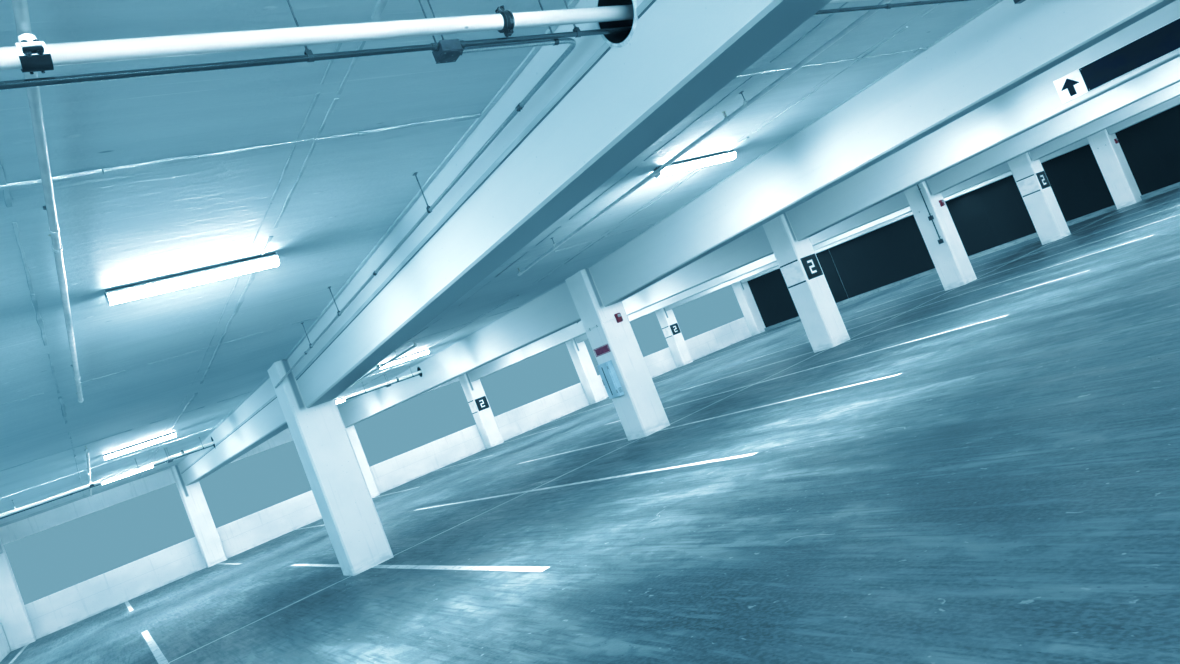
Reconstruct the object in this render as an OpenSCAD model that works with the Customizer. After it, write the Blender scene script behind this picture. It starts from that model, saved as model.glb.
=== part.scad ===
// One storey of a multi storey car park: a painted floor deck, three rows of columns,
// beams under a folded upper deck, facade panels all round,
// sprinkler pipework, conduits, batten lamps and column fittings. Millimetres, +Z up.
// X runs along the column rows, Y across the aisles, origin under the middle column.

/* [Layout] */
// Distance between column lines along a row
bay_length = 5486; // [5000:2:5900]
// Distance between column rows across an aisle
span_length = 18288; // [17400:2:18400]
// Height from the floor to the beam soffit at the middle row
clear_height = 2420; // [2300:10:2600]
// Rise of the upper deck away from the middle row, parts per thousand
deck_fall = 20; // [12:1:24]

/* [Concrete] */
// Thickness of the floor deck
floor_thickness = 200; // [160:5:260]
// Thickness of the upper deck
slab_thickness = 180; // [150:5:220]
// Side of the square columns
column_width = 610; // [540:5:640]
// Bevel on the upright column edges
column_bevel = 25; // [10:1:40]
// Width of the beams
beam_width = 410; // [340:5:420]
// Depth of the beams below the upper deck
beam_depth = 770; // [700:5:820]
// Sideways shift of a beam from its column line
beam_shift = 90; // [60:1:94]
// Bevel on the beam soffit edges
beam_bevel = 20; // [10:1:30]
// Height of the board mark groove above the soffit
groove_height = 430; // [380:5:450]
// Height of the board mark groove
groove_width = 20; // [10:1:26]
// Depth of the board mark groove
groove_depth = 8; // [4:1:12]
// Bore of the pipe sleeves through the beams
sleeve_diameter = 300; // [270:5:320]

/* [Facade] */
// Thickness of the facade panels
panel_thickness = 150; // [120:5:200]
// Height of the floor level panels
base_panel_height = 1100; // [950:10:1250]
// Height of the parapet above the highest part of the upper deck
parapet_height = 1070; // [900:10:1200]
// Reach of the upper panels below the lowest part of the upper deck
upper_panel_drop = 150; // [100:5:200]
// Open joint between facade panels
panel_joint = 20; // [10:1:30]
// Height and width of the kerb along the end wall
kerb_size = 150; // [100:5:180]

/* [Sprinklers] */
// Distance of the mains from the middle row
main_offset = 9000; // [8800:10:9200]
// Outside diameter of the mains
main_diameter = 73; // [64:1:80]
// Drop of the mains below the upper deck
main_drop = 227; // [215:1:235]
// Outside diameter of the branch pipes
branch_diameter = 42; // [36:1:46]
// Drop of the branch pipes below the upper deck
branch_drop = 130; // [125:1:134]
// Distance of the branch ends from the column rows
branch_end = 2250; // [2100:10:2400]
// Length of a pipe coupling
coupling_length = 52; // [44:1:60]

/* [Electrical] */
// Outside diameter of the conduits
conduit_diameter = 27; // [22:1:32]
// Drop of the long conduits below the mains
conduit_drop = 68; // [62:1:74]
// Length of a lamp
lamp_length = 1250; // [1150:10:1350]
// Width of the lamp lens
lamp_width = 120; // [100:2:140]
// Distance of the lamps from the column rows
lamp_offset = 5400; // [5200:10:5600]

/* [Fittings] */
// Height of the direction sign
sign_height = 390; // [340:5:420]
// Length of the dark sign panel
sign_length = 2050; // [1800:10:2100]
// Side of the square column plates
plate_size = 500; // [420:5:520]
// Height of the column cabinet
cabinet_height = 660; // [560:10:720]

/* [Hidden] */
seat = 0.3;
bays = 6;
rows = 3;
round_bend = 16;
round_pipe = 13;
round_rod = 6;

row_length = bays * bay_length;
column_half = column_width / 2;
deck_half_x = row_length / 2 + column_half;
deck_half_y = span_length + column_half;
outer_half_x = deck_half_x + seat + panel_thickness;
outer_half_y = deck_half_y + seat + panel_thickness;

fall = deck_fall / 1000;
fall_angle = atan(fall);
floor_top = floor_thickness;
valley_z = floor_top + clear_height + beam_depth;
ridge_z = valley_z + fall * deck_half_y;
deck_top_ridge = ridge_z + slab_thickness;
parapet_top = deck_top_ridge + parapet_height;
upper_panel_bottom = valley_z - upper_panel_drop;

main_z = valley_z + fall * main_offset - main_drop;
main_end = deck_half_x - 2 * panel_thickness;
conduit_inset = 50;
conduit_offset = main_offset - conduit_inset;
conduit_z = main_z - conduit_drop;

// Distances from a column line towards the smaller X, read from the photograph
branch_shift = bay_length / 2 - 50;
coupling_shift = 800;
hanger_shift = 4100;
clip_shift = 1750;
box_shift = 1110;
lamp_shift = 1800;

beam_left = beam_shift - beam_width / 2;
beam_start = column_half + seat;
beam_end = span_length - column_half - seat;
groove_drop = beam_depth - groove_height;

riser_diameter = 34;
coupling_wall = 14;
coupling_diameter = main_diameter + 2 * coupling_wall;
lug_length = 17;

rod_diameter = 10;
strap_thickness = 4;
strap_width = 26;
strap_crown = 18;
hanger_inset = 1120;
hanger_step = 3770;

head_foot = 20;
head_frame = 30;
head_height = 62;
head_plate = 42;
head_plate_thickness = 5;
head_thickness = 14;
head_margin = 40;
head_spacing = (span_length - 2 * branch_end - 2 * head_margin) / 3;

box_side = 102;
box_height = 60;
box_dip = 16;
box_inset = 20;
box_offset = conduit_offset - box_inset;

run_x = 223;
run_inset = 90;
run_side = main_offset - run_inset;
run_dip = 10;
run_drop = valley_z + fall * run_side - conduit_z + run_dip;
run_bend = 75;
run_hangers = [2410, 3810, 6620];
level_hanger = 147;

lamp_housing_width = 76;
lamp_housing_height = 38;
lamp_housing_bevel = 8;
lamp_lens_height = 62;
lamp_lens_curve = 20;
lamp_cap = 18;

sign_thickness = 24;
sign_start = 6600;
sign_arrow_width = 390;
sign_lift = 90;
arrow_share = 0.72;
arrow_stem = 90;
arrow_thickness = 3;

plate_thickness = 6;
plate_height = 1800;
numeral_width = plate_size * 0.36;
numeral_height = plate_size * 0.6;
numeral_stroke = plate_size * 0.1;
numeral_thickness = 2;

alarm_width = 112;
alarm_height = 170;
alarm_depth = 60;
alarm_shift = 75;
alarm_drop = 260;
alarm_z = clear_height - alarm_drop;
alarm_lens_diameter = 62;
alarm_lens_crown = 44;
alarm_lens_height = 34;
alarm_lens_lift = 34;

cabinet_width = 330;
cabinet_depth = 110;
cabinet_z = 1165;
door_thickness = 22;
door_margin = 12;
handle_depth = 18;
handle_width = 24;
handle_height = 110;
handle_inset = 18;

notice_width = 500;
notice_height = 150;
notice_z = 1718;
notice_thickness = 5;

riser_x = 150;
riser_box = 110;
riser_box_depth = 55;
riser_box_low = 1250;
riser_box_high = 1900;

concrete_white = [0.86, 0.9, 0.91];
concrete_grey = [0.55, 0.6, 0.63];
wall_dark = [0.09, 0.2, 0.24];
pipe_white = [0.9, 0.93, 0.94];
steel_grey = [0.5, 0.53, 0.55];
dark_grey = [0.16, 0.18, 0.2];
lens_white = [0.98, 1, 1];
sign_navy = [0.02, 0.05, 0.14];
alarm_red = [0.6, 0.08, 0.12];
cabinet_blue = [0.62, 0.76, 0.88];
brass_tone = [0.72, 0.6, 0.34];

// X of a column line, counted from the open end
function line_x(i) = (i - bays / 2) * bay_length;

// Underside of the upper deck above a point
function ceiling_z(y) = valley_z + fall * abs(y);

// Square column plan with bevelled edges
module column_plan() {
    c = column_bevel;
    h = column_half;
    polygon([
        [-h + c, -h], [h - c, -h], [h, -h + c], [h, h - c],
        [h - c, h], [-h + c, h], [-h, h - c], [-h, -h + c]
    ]);
}

// Everything between the floor and the folded ceiling
module below_ceiling() {
    y = outer_half_y;
    rotate([90, 0, 90])
        linear_extrude(height = 2 * outer_half_x, center = true)
            polygon([
                [-y, 0], [y, 0],
                [y, ceiling_z(y) - seat],
                [0, ceiling_z(0) - seat],
                [-y, ceiling_z(y) - seat]
            ]);
}

// Moves a child to the sloping ceiling; side is -1 towards the front, 1 towards the back
module at_ceiling(x, y) {
    side = y < 0 ? -1 : 1;
    translate([x, y, ceiling_z(y)])
        rotate([side * fall_angle, 0, 0])
            children();
}

// Copies a child drawn for the front half into the back half
module both_halves() {
    children();
    mirror([0, 1, 0])
        children();
}

module column_row(y) {
    intersection() {
        for (i = [0 : bays])
            translate([line_x(i), y, floor_top + seat])
                linear_extrude(height = ridge_z)
                    column_plan();
        below_ceiling();
    }
}

// Beam section: X across, Y up, zero at the ceiling
module beam_section() {
    w = beam_width / 2;
    g = groove_depth;
    up = -groove_drop + groove_width / 2;
    mid = -groove_drop;
    low = -groove_drop - groove_width / 2;
    b = beam_bevel;
    d = beam_depth;
    polygon([
        [-w, -seat], [-w, up], [-w + g, mid], [-w, low],
        [-w, -d + b], [-w + b, -d], [w - b, -d], [w, -d + b],
        [w, low], [w - g, mid], [w, up], [w, -seat]
    ]);
}

// One beam from the middle row to the front row, following the fall, with its pipe sleeve
module front_beam(i) {
    x = line_x(i) + beam_shift;
    difference() {
        intersection() {
            translate([x, 0, valley_z])
                rotate([90 - fall_angle, 0, 0])
                    linear_extrude(height = span_length)
                        beam_section();
            translate([x - beam_width, -beam_end, 0])
                cube([2 * beam_width, beam_end - beam_start, 2 * ridge_z]);
        }
        translate([x, -main_offset, main_z])
            rotate([0, 90, 0])
                cylinder(h = 2 * beam_width, d = sleeve_diameter, center = true, $fn = round_pipe);
    }
}

module front_beams() {
    color(concrete_white)
        for (i = [0 : bays])
            front_beam(i);
}

module back_beams() {
    color(concrete_white)
        mirror([0, 1, 0])
            for (i = [0 : bays])
                front_beam(i);
}

module front_columns() {
    color(concrete_white)
        column_row(-span_length);
}

module middle_columns() {
    color(concrete_white)
        column_row(0);
}

module back_columns() {
    color(concrete_white)
        column_row(span_length);
}

module floor_deck() {
    color(concrete_grey)
        translate([-outer_half_x, -outer_half_y, 0])
            cube([2 * outer_half_x, 2 * outer_half_y, floor_thickness]);
}

module upper_deck() {
    y = deck_half_y;
    t = slab_thickness;
    color(concrete_grey)
        rotate([90, 0, 90])
            linear_extrude(height = 2 * deck_half_x, center = true)
                polygon([
                    [-y, ceiling_z(y)], [0, ceiling_z(0)], [y, ceiling_z(y)],
                    [y, ceiling_z(y) + t], [0, ceiling_z(0) + t], [-y, ceiling_z(y) + t]
                ]);
}

// A row of facade panels along X with open joints on the column lines
module panels_along_x(y, z, height) {
    for (i = [0 : bays - 1]) {
        left = i == 0 ? -outer_half_x : line_x(i) + panel_joint / 2;
        right = i == bays - 1 ? outer_half_x : line_x(i + 1) - panel_joint / 2;
        translate([left, y, z])
            cube([right - left, panel_thickness, height]);
    }
}

// A row of facade panels along Y, one third of a span each
module panels_along_y(x, z, height) {
    count = 2 * rows;
    step = 2 * deck_half_y / count;
    for (k = [0 : count - 1])
        translate([x, -deck_half_y + k * step + panel_joint / 2, z])
            cube([panel_thickness, step - panel_joint, height]);
}

module front_base_panels() {
    color(concrete_white)
        panels_along_x(-outer_half_y, floor_top + seat, base_panel_height);
}

module back_base_panels() {
    color(concrete_white)
        panels_along_x(deck_half_y + seat, floor_top + seat, base_panel_height);
}

module side_base_panels() {
    color(concrete_white)
        panels_along_y(-outer_half_x, floor_top + seat, base_panel_height);
}

module end_wall() {
    color(wall_dark)
        panels_along_y(deck_half_x + seat, floor_top + seat,
            upper_panel_bottom - floor_top - 2 * seat);
}

module front_upper_panels() {
    color(concrete_white)
        panels_along_x(-outer_half_y, upper_panel_bottom, parapet_top - upper_panel_bottom);
}

module back_upper_panels() {
    color(concrete_white)
        panels_along_x(deck_half_y + seat, upper_panel_bottom, parapet_top - upper_panel_bottom);
}

module side_upper_panels() {
    color(concrete_white)
        panels_along_y(-outer_half_x, upper_panel_bottom, parapet_top - upper_panel_bottom);
}

module end_upper_panels() {
    color(concrete_white)
        panels_along_y(deck_half_x + seat, upper_panel_bottom, parapet_top - upper_panel_bottom);
}

module end_kerb() {
    length = span_length - column_width - 2 * seat;
    color(concrete_white)
        both_halves()
            translate([deck_half_x - kerb_size, -beam_end, floor_top + seat])
                cube([kerb_size, length, kerb_size]);
}

// The long pipe of one half
module front_main() {
    translate([0, -main_offset, main_z])
        rotate([90, 0, 90])
            cylinder(h = 2 * main_end, d = main_diameter, center = true, $fn = round_pipe);
}

module sprinkler_mains() {
    color(pipe_white)
        both_halves()
            front_main();
}

// Ring clamped round a main, drawn out to a bolt pad above and below
module coupling(length) {
    r = coupling_diameter / 2;
    side = r * tan(45 / 2);
    pad = r + lug_length;
    rotate([90, 0, 90])
        linear_extrude(height = length, center = true)
            difference() {
                polygon([
                    [-side, pad], [side, pad], [r, side], [r, -side],
                    [side, -pad], [-side, -pad], [-r, -side], [-r, side]
                ]);
                circle(d = main_diameter + 2 * seat, $fn = round_pipe);
            }
}

module main_couplings() {
    color(steel_grey)
        both_halves()
            for (i = [1 : bays])
                translate([line_x(i) - coupling_shift, -main_offset, main_z])
                    coupling(coupling_length);
}

// Height of the flat crown of a pear shaped strap above the centre of its pipe
function crown_height(pipe) = 2 * (pipe / 2 + seat) + strap_thickness;

// Pear shaped strap round a pipe, Y across the pipe and Z up
module strap_profile(pipe, crown) {
    r = pipe / 2 + seat;
    o = r + strap_thickness;
    top = crown_height(pipe);
    difference() {
        polygon([
            [o * tan(30), -o], [o / cos(30), 0], [crown / 2, top],
            [-crown / 2, top], [-o / cos(30), 0], [-o * tan(30), -o]
        ]);
        polygon([
            [r * tan(30), -r], [r / cos(30), 0], [0, 2 * r],
            [-r / cos(30), 0], [-r * tan(30), -r]
        ]);
    }
}

// Strap and rod that hang a pipe along X at the given drop below the ceiling
module pipe_hanger(pipe, drop) {
    top = crown_height(pipe);
    translate([0, 0, -drop]) {
        rotate([90, 0, 90])
            linear_extrude(height = strap_width, center = true)
                strap_profile(pipe, strap_crown);
        translate([0, 0, top])
            cylinder(h = drop - top - seat, d = rod_diameter, $fn = round_rod);
    }
}

module main_hangers() {
    color(steel_grey)
        both_halves()
            for (i = [1 : bays])
                translate([line_x(i) - hanger_shift, -main_offset, ceiling_z(main_offset)])
                    pipe_hanger(main_diameter, main_drop);
}

// Branch pipe under the sloping ceiling
module front_branch(i) {
    length = (span_length - 2 * branch_end) / cos(fall_angle);
    translate([line_x(i) - branch_shift, 0, valley_z - branch_drop])
        rotate([90 - fall_angle, 0, 0])
            translate([0, 0, branch_end / cos(fall_angle)])
                cylinder(h = length, d = branch_diameter, $fn = round_pipe);
}

module branch_pipes() {
    color(pipe_white)
        both_halves()
            for (i = [1 : bays])
                front_branch(i);
}

// Short pipes that stand on the mains and feed the branches
module branch_risers() {
    height = main_drop - branch_drop - (main_diameter + branch_diameter) / 2 - 3 * seat;
    color(pipe_white)
        both_halves()
            for (i = [1 : bays])
                translate([line_x(i) - branch_shift, -main_offset, main_z + main_diameter / 2 + seat])
                    cylinder(h = height, d = riser_diameter, $fn = round_pipe);
}

module branch_hangers() {
    first = branch_end + hanger_inset;
    second = first + hanger_step;
    color(steel_grey)
        both_halves()
            for (i = [1 : bays])
                for (y = [first, second, span_length - second, span_length - first])
                    at_ceiling(line_x(i) - branch_shift, -y)
                        rotate([0, 0, 90])
                            pipe_hanger(branch_diameter, branch_drop);
}

// Flat frame of an upright head: foot, waist and spray plate, Y across, Z up
module head_profile() {
    f = head_foot / 2;
    w = head_frame / 2;
    p = head_plate / 2;
    h = head_height;
    under = h - head_plate_thickness;
    polygon([
        [-f, 0], [f, 0], [w, h / 2], [f / 2, under - head_plate_thickness], [p, under],
        [p, h], [-p, h], [-p, under], [-f / 2, under - head_plate_thickness], [-w, h / 2]
    ]);
}

// Rows of heads on the branches; the outer heads stand just inside the pipe ends
module sprinkler_heads() {
    color(brass_tone)
        both_halves()
            for (i = [1 : bays])
                for (k = [0 : 3])
                    at_ceiling(line_x(i) - branch_shift,
                            -(branch_end + head_margin + k * head_spacing))
                        translate([0, 0, -branch_drop + branch_diameter / 2 + seat])
                            rotate([90, 0, 90])
                                linear_extrude(height = head_thickness, center = true)
                                    head_profile();
}

// Conduit pieces between the junction boxes of one half
module front_long_conduit() {
    for (i = [0 : bays]) {
        left = i == 0 ? -main_end : line_x(i) - box_shift + box_side / 2 + seat;
        right = i == bays ? main_end : line_x(i + 1) - box_shift - box_side / 2 - seat;
        translate([left, -conduit_offset, conduit_z])
            rotate([0, 90, 0])
                cylinder(h = right - left, d = conduit_diameter, $fn = round_pipe);
    }
}

module long_conduits() {
    color(dark_grey)
        both_halves()
            front_long_conduit();
}

// Straps and rods that carry the long conduits
module conduit_clips() {
    drop = ceiling_z(conduit_offset) - conduit_z;
    color(dark_grey)
        both_halves()
            for (i = [1 : bays])
                translate([line_x(i) - clip_shift, -conduit_offset, ceiling_z(conduit_offset)])
                    pipe_hanger(conduit_diameter, drop);
}

module junction_boxes() {
    color(dark_grey)
        both_halves()
            for (i = [1 : bays])
                translate([line_x(i) - box_shift, -box_offset, conduit_z - box_dip])
                    cube([box_side, box_side, box_height], center = true);
}

// Conduit hung beside the second beam of the front half; it turns along the main to a box
module beam_conduit() {
    x = line_x(1) + beam_left - run_x;
    length = run_side / cos(fall_angle) - run_bend;
    level = x - run_bend - (line_x(1) - box_shift + box_side / 2 + seat);
    color(dark_grey)
        translate([x, 0, valley_z - run_drop])
            rotate([90 - fall_angle, 0, 0]) {
                cylinder(h = length, d = conduit_diameter, $fn = round_pipe);
                translate([-run_bend, 0, length]) {
                    rotate([-90, 0, 0])
                        rotate_extrude(angle = -90, $fn = round_bend)
                            translate([run_bend, 0])
                                circle(d = conduit_diameter, $fn = round_pipe);
                    translate([0, 0, run_bend])
                        rotate([0, -90, 0])
                            cylinder(h = level, d = conduit_diameter, $fn = round_pipe);
                }
            }
}

module conduit_hangers() {
    x = line_x(1) + beam_left - run_x;
    color(steel_grey) {
        for (y = run_hangers)
            at_ceiling(x, -y)
                rotate([0, 0, 90])
                    pipe_hanger(conduit_diameter, run_drop);
        translate([x - level_hanger, -run_side, ceiling_z(run_side)])
            pipe_hanger(conduit_diameter, run_drop);
    }
}

// Section of the lamp housing, Y across and Z down from the ceiling
module housing_section() {
    w = lamp_housing_width / 2;
    h = lamp_housing_height;
    c = lamp_housing_bevel;
    polygon([
        [-w, -seat], [-w, -h + c], [-w + c, -h], [w - c, -h], [w, -h + c], [w, -seat]
    ]);
}

// Section of the wrap round lens below the housing
module lens_section() {
    w = lamp_width / 2;
    top = -lamp_housing_height - seat;
    bottom = top - lamp_lens_height;
    c = lamp_lens_curve;
    polygon([
        [-w + c / 3, top], [-w, top - c], [-w + c / 2, bottom + c / 3], [-w + 2 * c, bottom],
        [w - 2 * c, bottom], [w - c / 2, bottom + c / 3], [w, top - c], [w - c / 3, top]
    ]);
}

// Places a lamp shape in every bay beside each column row
module at_lamps() {
    both_halves()
        for (i = [1 : bays])
            for (y = [lamp_offset, span_length - lamp_offset])
                at_ceiling(line_x(i) - lamp_shift, -y)
                    children();
}

module lamp_housings() {
    color(steel_grey)
        at_lamps()
            rotate([90, 0, 90])
                linear_extrude(height = lamp_length, center = true)
                    housing_section();
}

module lamp_lenses() {
    color(lens_white)
        at_lamps()
            rotate([90, 0, 90])
                linear_extrude(height = lamp_length - lamp_cap, center = true)
                    lens_section();
}

// The direction sign hangs on the left face of the fourth beam of the front half
sign_x = line_x(3) + beam_left - seat - sign_thickness;
sign_z = ceiling_z(sign_start) - beam_depth + sign_lift;

module sign_panel() {
    color(sign_navy)
        translate([sign_x, -sign_start - sign_length, sign_z])
            cube([sign_thickness, sign_length, sign_height]);
}

// Straight arrow raised on the light panel
module sign_arrow() {
    h = sign_height * arrow_share / 2;
    w = sign_arrow_width * arrow_share / 2;
    s = arrow_stem / 2;
    color(sign_navy)
        translate([sign_x - seat, -sign_start + seat + sign_arrow_width / 2,
                sign_z + sign_height / 2])
            rotate([90, 0, -90])
                linear_extrude(height = arrow_thickness)
                    polygon([
                        [-s, -h], [s, -h], [s, 0], [w, 0], [0, h], [-w, 0], [-s, 0]
                    ]);
}

module sign_arrow_panel() {
    color(pipe_white)
        translate([sign_x, -sign_start + seat, sign_z])
            cube([sign_thickness, sign_arrow_width, sign_height]);
}

// Plain numeral two built from upright and level strokes
module numeral() {
    w = numeral_width;
    h = numeral_height;
    s = numeral_stroke;
    for (z = [-1, 0, 1])
        translate([-w / 2, z * (h - s) / 2 - s / 2])
            square([w, s]);
    translate([w / 2 - s, 0])
        square([s, h / 2]);
    translate([-w / 2, -h / 2])
        square([s, h / 2]);
}

// Column lines that carry a number plate on their front face
plate_lines = [3, 5];

module at_plates() {
    for (i = plate_lines)
        for (y = [0, span_length])
            translate([line_x(i), y - column_half - seat, floor_top + plate_height])
                children();
}

module column_plates() {
    color(dark_grey)
        at_plates()
            translate([-plate_size / 2, -plate_thickness, -plate_size / 2])
                cube([plate_size, plate_thickness, plate_size]);
}

module plate_numbers() {
    color(pipe_white)
        at_plates()
            translate([0, -plate_thickness - seat, 0])
                rotate([90, 0, 0])
                    linear_extrude(height = numeral_thickness)
                        numeral();
}

// Column lines that carry an alarm on their front face
alarm_lines = [2, 4, 6];

module at_alarms() {
    for (i = alarm_lines)
        translate([line_x(i) + alarm_shift, -column_half - seat, floor_top + alarm_z])
            children();
}

module alarm_bases() {
    color(alarm_red)
        at_alarms()
            translate([-alarm_width / 2, -alarm_depth, -alarm_height / 2])
                cube([alarm_width, alarm_depth, alarm_height]);
}

module alarm_lenses() {
    color(lens_white)
        at_alarms()
            translate([0, -alarm_depth - seat, alarm_lens_lift])
                rotate([90, 0, 0])
                    cylinder(h = alarm_lens_height, d1 = alarm_lens_diameter,
                        d2 = alarm_lens_crown, $fn = round_pipe);
}

// Fittings on the left face of the third column of the middle row
face_x = line_x(2) - column_half - seat;

module cabinet_body() {
    color(cabinet_blue)
        translate([face_x - cabinet_depth, -cabinet_width / 2,
                floor_top + cabinet_z - cabinet_height / 2])
            cube([cabinet_depth, cabinet_width, cabinet_height]);
}

module cabinet_door() {
    m = door_margin;
    color(cabinet_blue)
        translate([face_x - cabinet_depth - seat - door_thickness, -cabinet_width / 2 + m,
                floor_top + cabinet_z - cabinet_height / 2 + m])
            cube([door_thickness, cabinet_width - 2 * m, cabinet_height - 2 * m]);
}

// Grip near the free edge of the cabinet door
module cabinet_handle() {
    color(steel_grey)
        translate([face_x - cabinet_depth - 2 * seat - door_thickness - handle_depth,
                cabinet_width / 2 - door_margin - handle_inset - handle_width,
                floor_top + cabinet_z - handle_height / 2])
            cube([handle_depth, handle_width, handle_height]);
}

module notice_plate() {
    color(alarm_red)
        translate([face_x - notice_thickness, -notice_width / 2,
                floor_top + notice_z - notice_height / 2])
            cube([notice_thickness, notice_width, notice_height]);
}

// Upright conduit with two boxes on the left face of the fifth middle column
riser_face = line_x(4) - column_half - seat;

module riser_boxes() {
    color(steel_grey)
        for (z = [riser_box_low, riser_box_high])
            translate([riser_face - riser_box_depth, -riser_x - riser_box / 2,
                    floor_top + z - riser_box / 2])
                cube([riser_box_depth, riser_box, riser_box]);
}

module riser_conduits() {
    half = riser_box / 2 + seat;
    top = ceiling_z(riser_x) - 3 * seat;
    x = riser_face - conduit_diameter / 2 - seat;
    lower = floor_top + riser_box_low + half;
    middle = floor_top + riser_box_high - half;
    upper = floor_top + riser_box_high + half;
    color(steel_grey) {
        translate([x, -riser_x, lower])
            cylinder(h = middle - lower, d = conduit_diameter, $fn = round_pipe);
        translate([x, -riser_x, upper])
            cylinder(h = top - upper, d = conduit_diameter, $fn = round_pipe);
    }
}

floor_deck();
upper_deck();
front_columns();
middle_columns();
back_columns();
front_beams();
back_beams();
front_base_panels();
back_base_panels();
side_base_panels();
end_wall();
front_upper_panels();
back_upper_panels();
side_upper_panels();
end_upper_panels();
end_kerb();
sprinkler_mains();
main_couplings();
main_hangers();
branch_pipes();
branch_risers();
branch_hangers();
sprinkler_heads();
long_conduits();
conduit_clips();
junction_boxes();
beam_conduit();
conduit_hangers();
lamp_housings();
lamp_lenses();
sign_panel();
sign_arrow_panel();
sign_arrow();
column_plates();
plate_numbers();
alarm_bases();
alarm_lenses();
cabinet_body();
cabinet_door();
cabinet_handle();
notice_plate();
riser_conduits();
riser_boxes();
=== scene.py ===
"""One storey of a multi storey car park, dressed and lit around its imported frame."""

import logging
import math
import random
from collections.abc import Iterable, Sequence
from dataclasses import dataclass, field
from enum import Enum
from functools import partial

import bpy
from mathutils import Euler, Matrix, Vector, noise


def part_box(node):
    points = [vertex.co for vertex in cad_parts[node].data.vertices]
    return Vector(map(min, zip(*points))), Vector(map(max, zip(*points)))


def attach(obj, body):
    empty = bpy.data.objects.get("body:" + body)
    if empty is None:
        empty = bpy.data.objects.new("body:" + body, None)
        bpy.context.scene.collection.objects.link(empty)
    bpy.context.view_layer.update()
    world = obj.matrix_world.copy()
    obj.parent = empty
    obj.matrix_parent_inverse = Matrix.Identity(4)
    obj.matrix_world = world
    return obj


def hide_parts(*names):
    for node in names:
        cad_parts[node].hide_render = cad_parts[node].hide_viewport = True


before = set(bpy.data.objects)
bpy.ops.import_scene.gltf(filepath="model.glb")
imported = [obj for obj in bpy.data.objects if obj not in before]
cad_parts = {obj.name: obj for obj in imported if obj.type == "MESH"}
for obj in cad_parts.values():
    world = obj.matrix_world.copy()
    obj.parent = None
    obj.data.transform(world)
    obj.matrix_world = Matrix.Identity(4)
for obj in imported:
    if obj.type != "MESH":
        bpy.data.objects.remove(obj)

LOG = logging.getLogger("car_park")
Pair = tuple[float, float]
Triple = tuple[float, float, float]
Outline = Sequence[Pair]
Points = list[Pair]
Tree = bpy.types.NodeTree
Socket = bpy.types.NodeSocket
# Turns in degrees that lead a shape's Z along X, along Y, or towards smaller X, where the
# last one also keeps its Y upright.
ALONG_X = (90.0, 0.0, 90.0)
ALONG_Y = (90.0, 0.0, 0.0)
TO_LEFT = (0.0, -90.0, 0.0)
UPRIGHT_LEFT = (90.0, 0.0, -90.0)


# Places


def corners(node: str) -> tuple[Triple, Triple]:
    """The lowest and highest corner of a frame node, to a tenth of a millimetre."""
    low, high = (tuple(round(part, 4) for part in corner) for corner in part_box(node))
    return low, high


@dataclass(frozen=True)
class Grid:
    """The places that every piece is set out from, in metres."""

    bay: float
    span: float
    floor: float
    valley: float
    fall: float
    column: float
    slab: float
    beam_left: float
    beam_right: float
    main_offset: float
    main_drop: float
    seat: float
    bays: int = 6
    main: float = 0.0365

    @classmethod
    def from_frame(cls) -> "Grid":
        """Works the places out from the boxes of the frame's nodes.

        Returns:
            The places of this frame, to a tenth of a millimetre.
        """
        floor = corners("floor_deck")[1][2]
        row_low, row_high = corners("middle_columns")
        back_low, back_high = corners("back_columns")
        deck_low, deck_high = corners("upper_deck")
        beams_low, beams_high = corners("front_beams")
        mains_low, mains_high = corners("sprinkler_mains")
        column = row_high[1] - row_low[1]
        first, last = row_low[0] + column / 2, row_high[0] - column / 2
        seat = row_low[2] - floor
        fall = (back_high[2] + seat - deck_low[2]) / back_high[1]
        offset = mains_high[1] - cls.main
        places = {
            "bay": (last - first) / cls.bays, "span": (back_low[1] + back_high[1]) / 2,
            "floor": floor, "valley": deck_low[2], "fall": fall, "column": column,
            "slab": deck_high[2] - deck_low[2] - fall * deck_high[1], "seat": seat,
            "beam_left": beams_low[0] - first, "beam_right": beams_high[0] - last,
            "main_offset": offset,
            "main_drop": deck_low[2] + fall * offset - (mains_low[2] + mains_high[2]) / 2,
        }
        return cls(**{name: round(place, 4) for name, place in places.items()})

    def line(self, number: int) -> float:
        """X of a column line, counted from the open end."""
        return (number - self.bays / 2) * self.bay

    def ceiling(self, y: float) -> float:
        """Height of the slab's underside above a point at this Y."""
        return self.valley + self.fall * abs(y)

    def tilt(self, y: float) -> float:
        """Turn about X, in degrees, that lays a piece against the folded slab."""
        return math.copysign(math.degrees(math.atan(self.fall)), y)

    def main_height(self) -> float:
        """Height of the centre of the long pipes."""
        return self.ceiling(self.main_offset) - self.main_drop

    def bay_lines(self) -> range:
        """The column lines that close a bay."""
        return range(1, self.bays + 1)


GRID = Grid.from_frame()


def placed(
    x: float = 0.0,
    y: float = 0.0,
    z: float = 0.0,
    turn: Triple = (0.0, 0.0, 0.0),
) -> Matrix:
    """Makes the place of a shape.

    Args:
        x: Distance along the rows in metres.
        y: Distance across the aisles in metres.
        z: Height in metres.
        turn: Turns about X, Y and Z in degrees.

    Returns:
        The matrix that carries the shape there.
    """
    angles = Euler([math.radians(angle) for angle in turn])
    return Matrix.Translation((x, y, z)) @ angles.to_matrix().to_4x4()


def under_slab(x: float, y: float) -> Matrix:
    """The place on the slab's underside above a point, tilted with the slab."""
    return placed(x, y, GRID.ceiling(y), (GRID.tilt(y), 0.0, 0.0))


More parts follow.
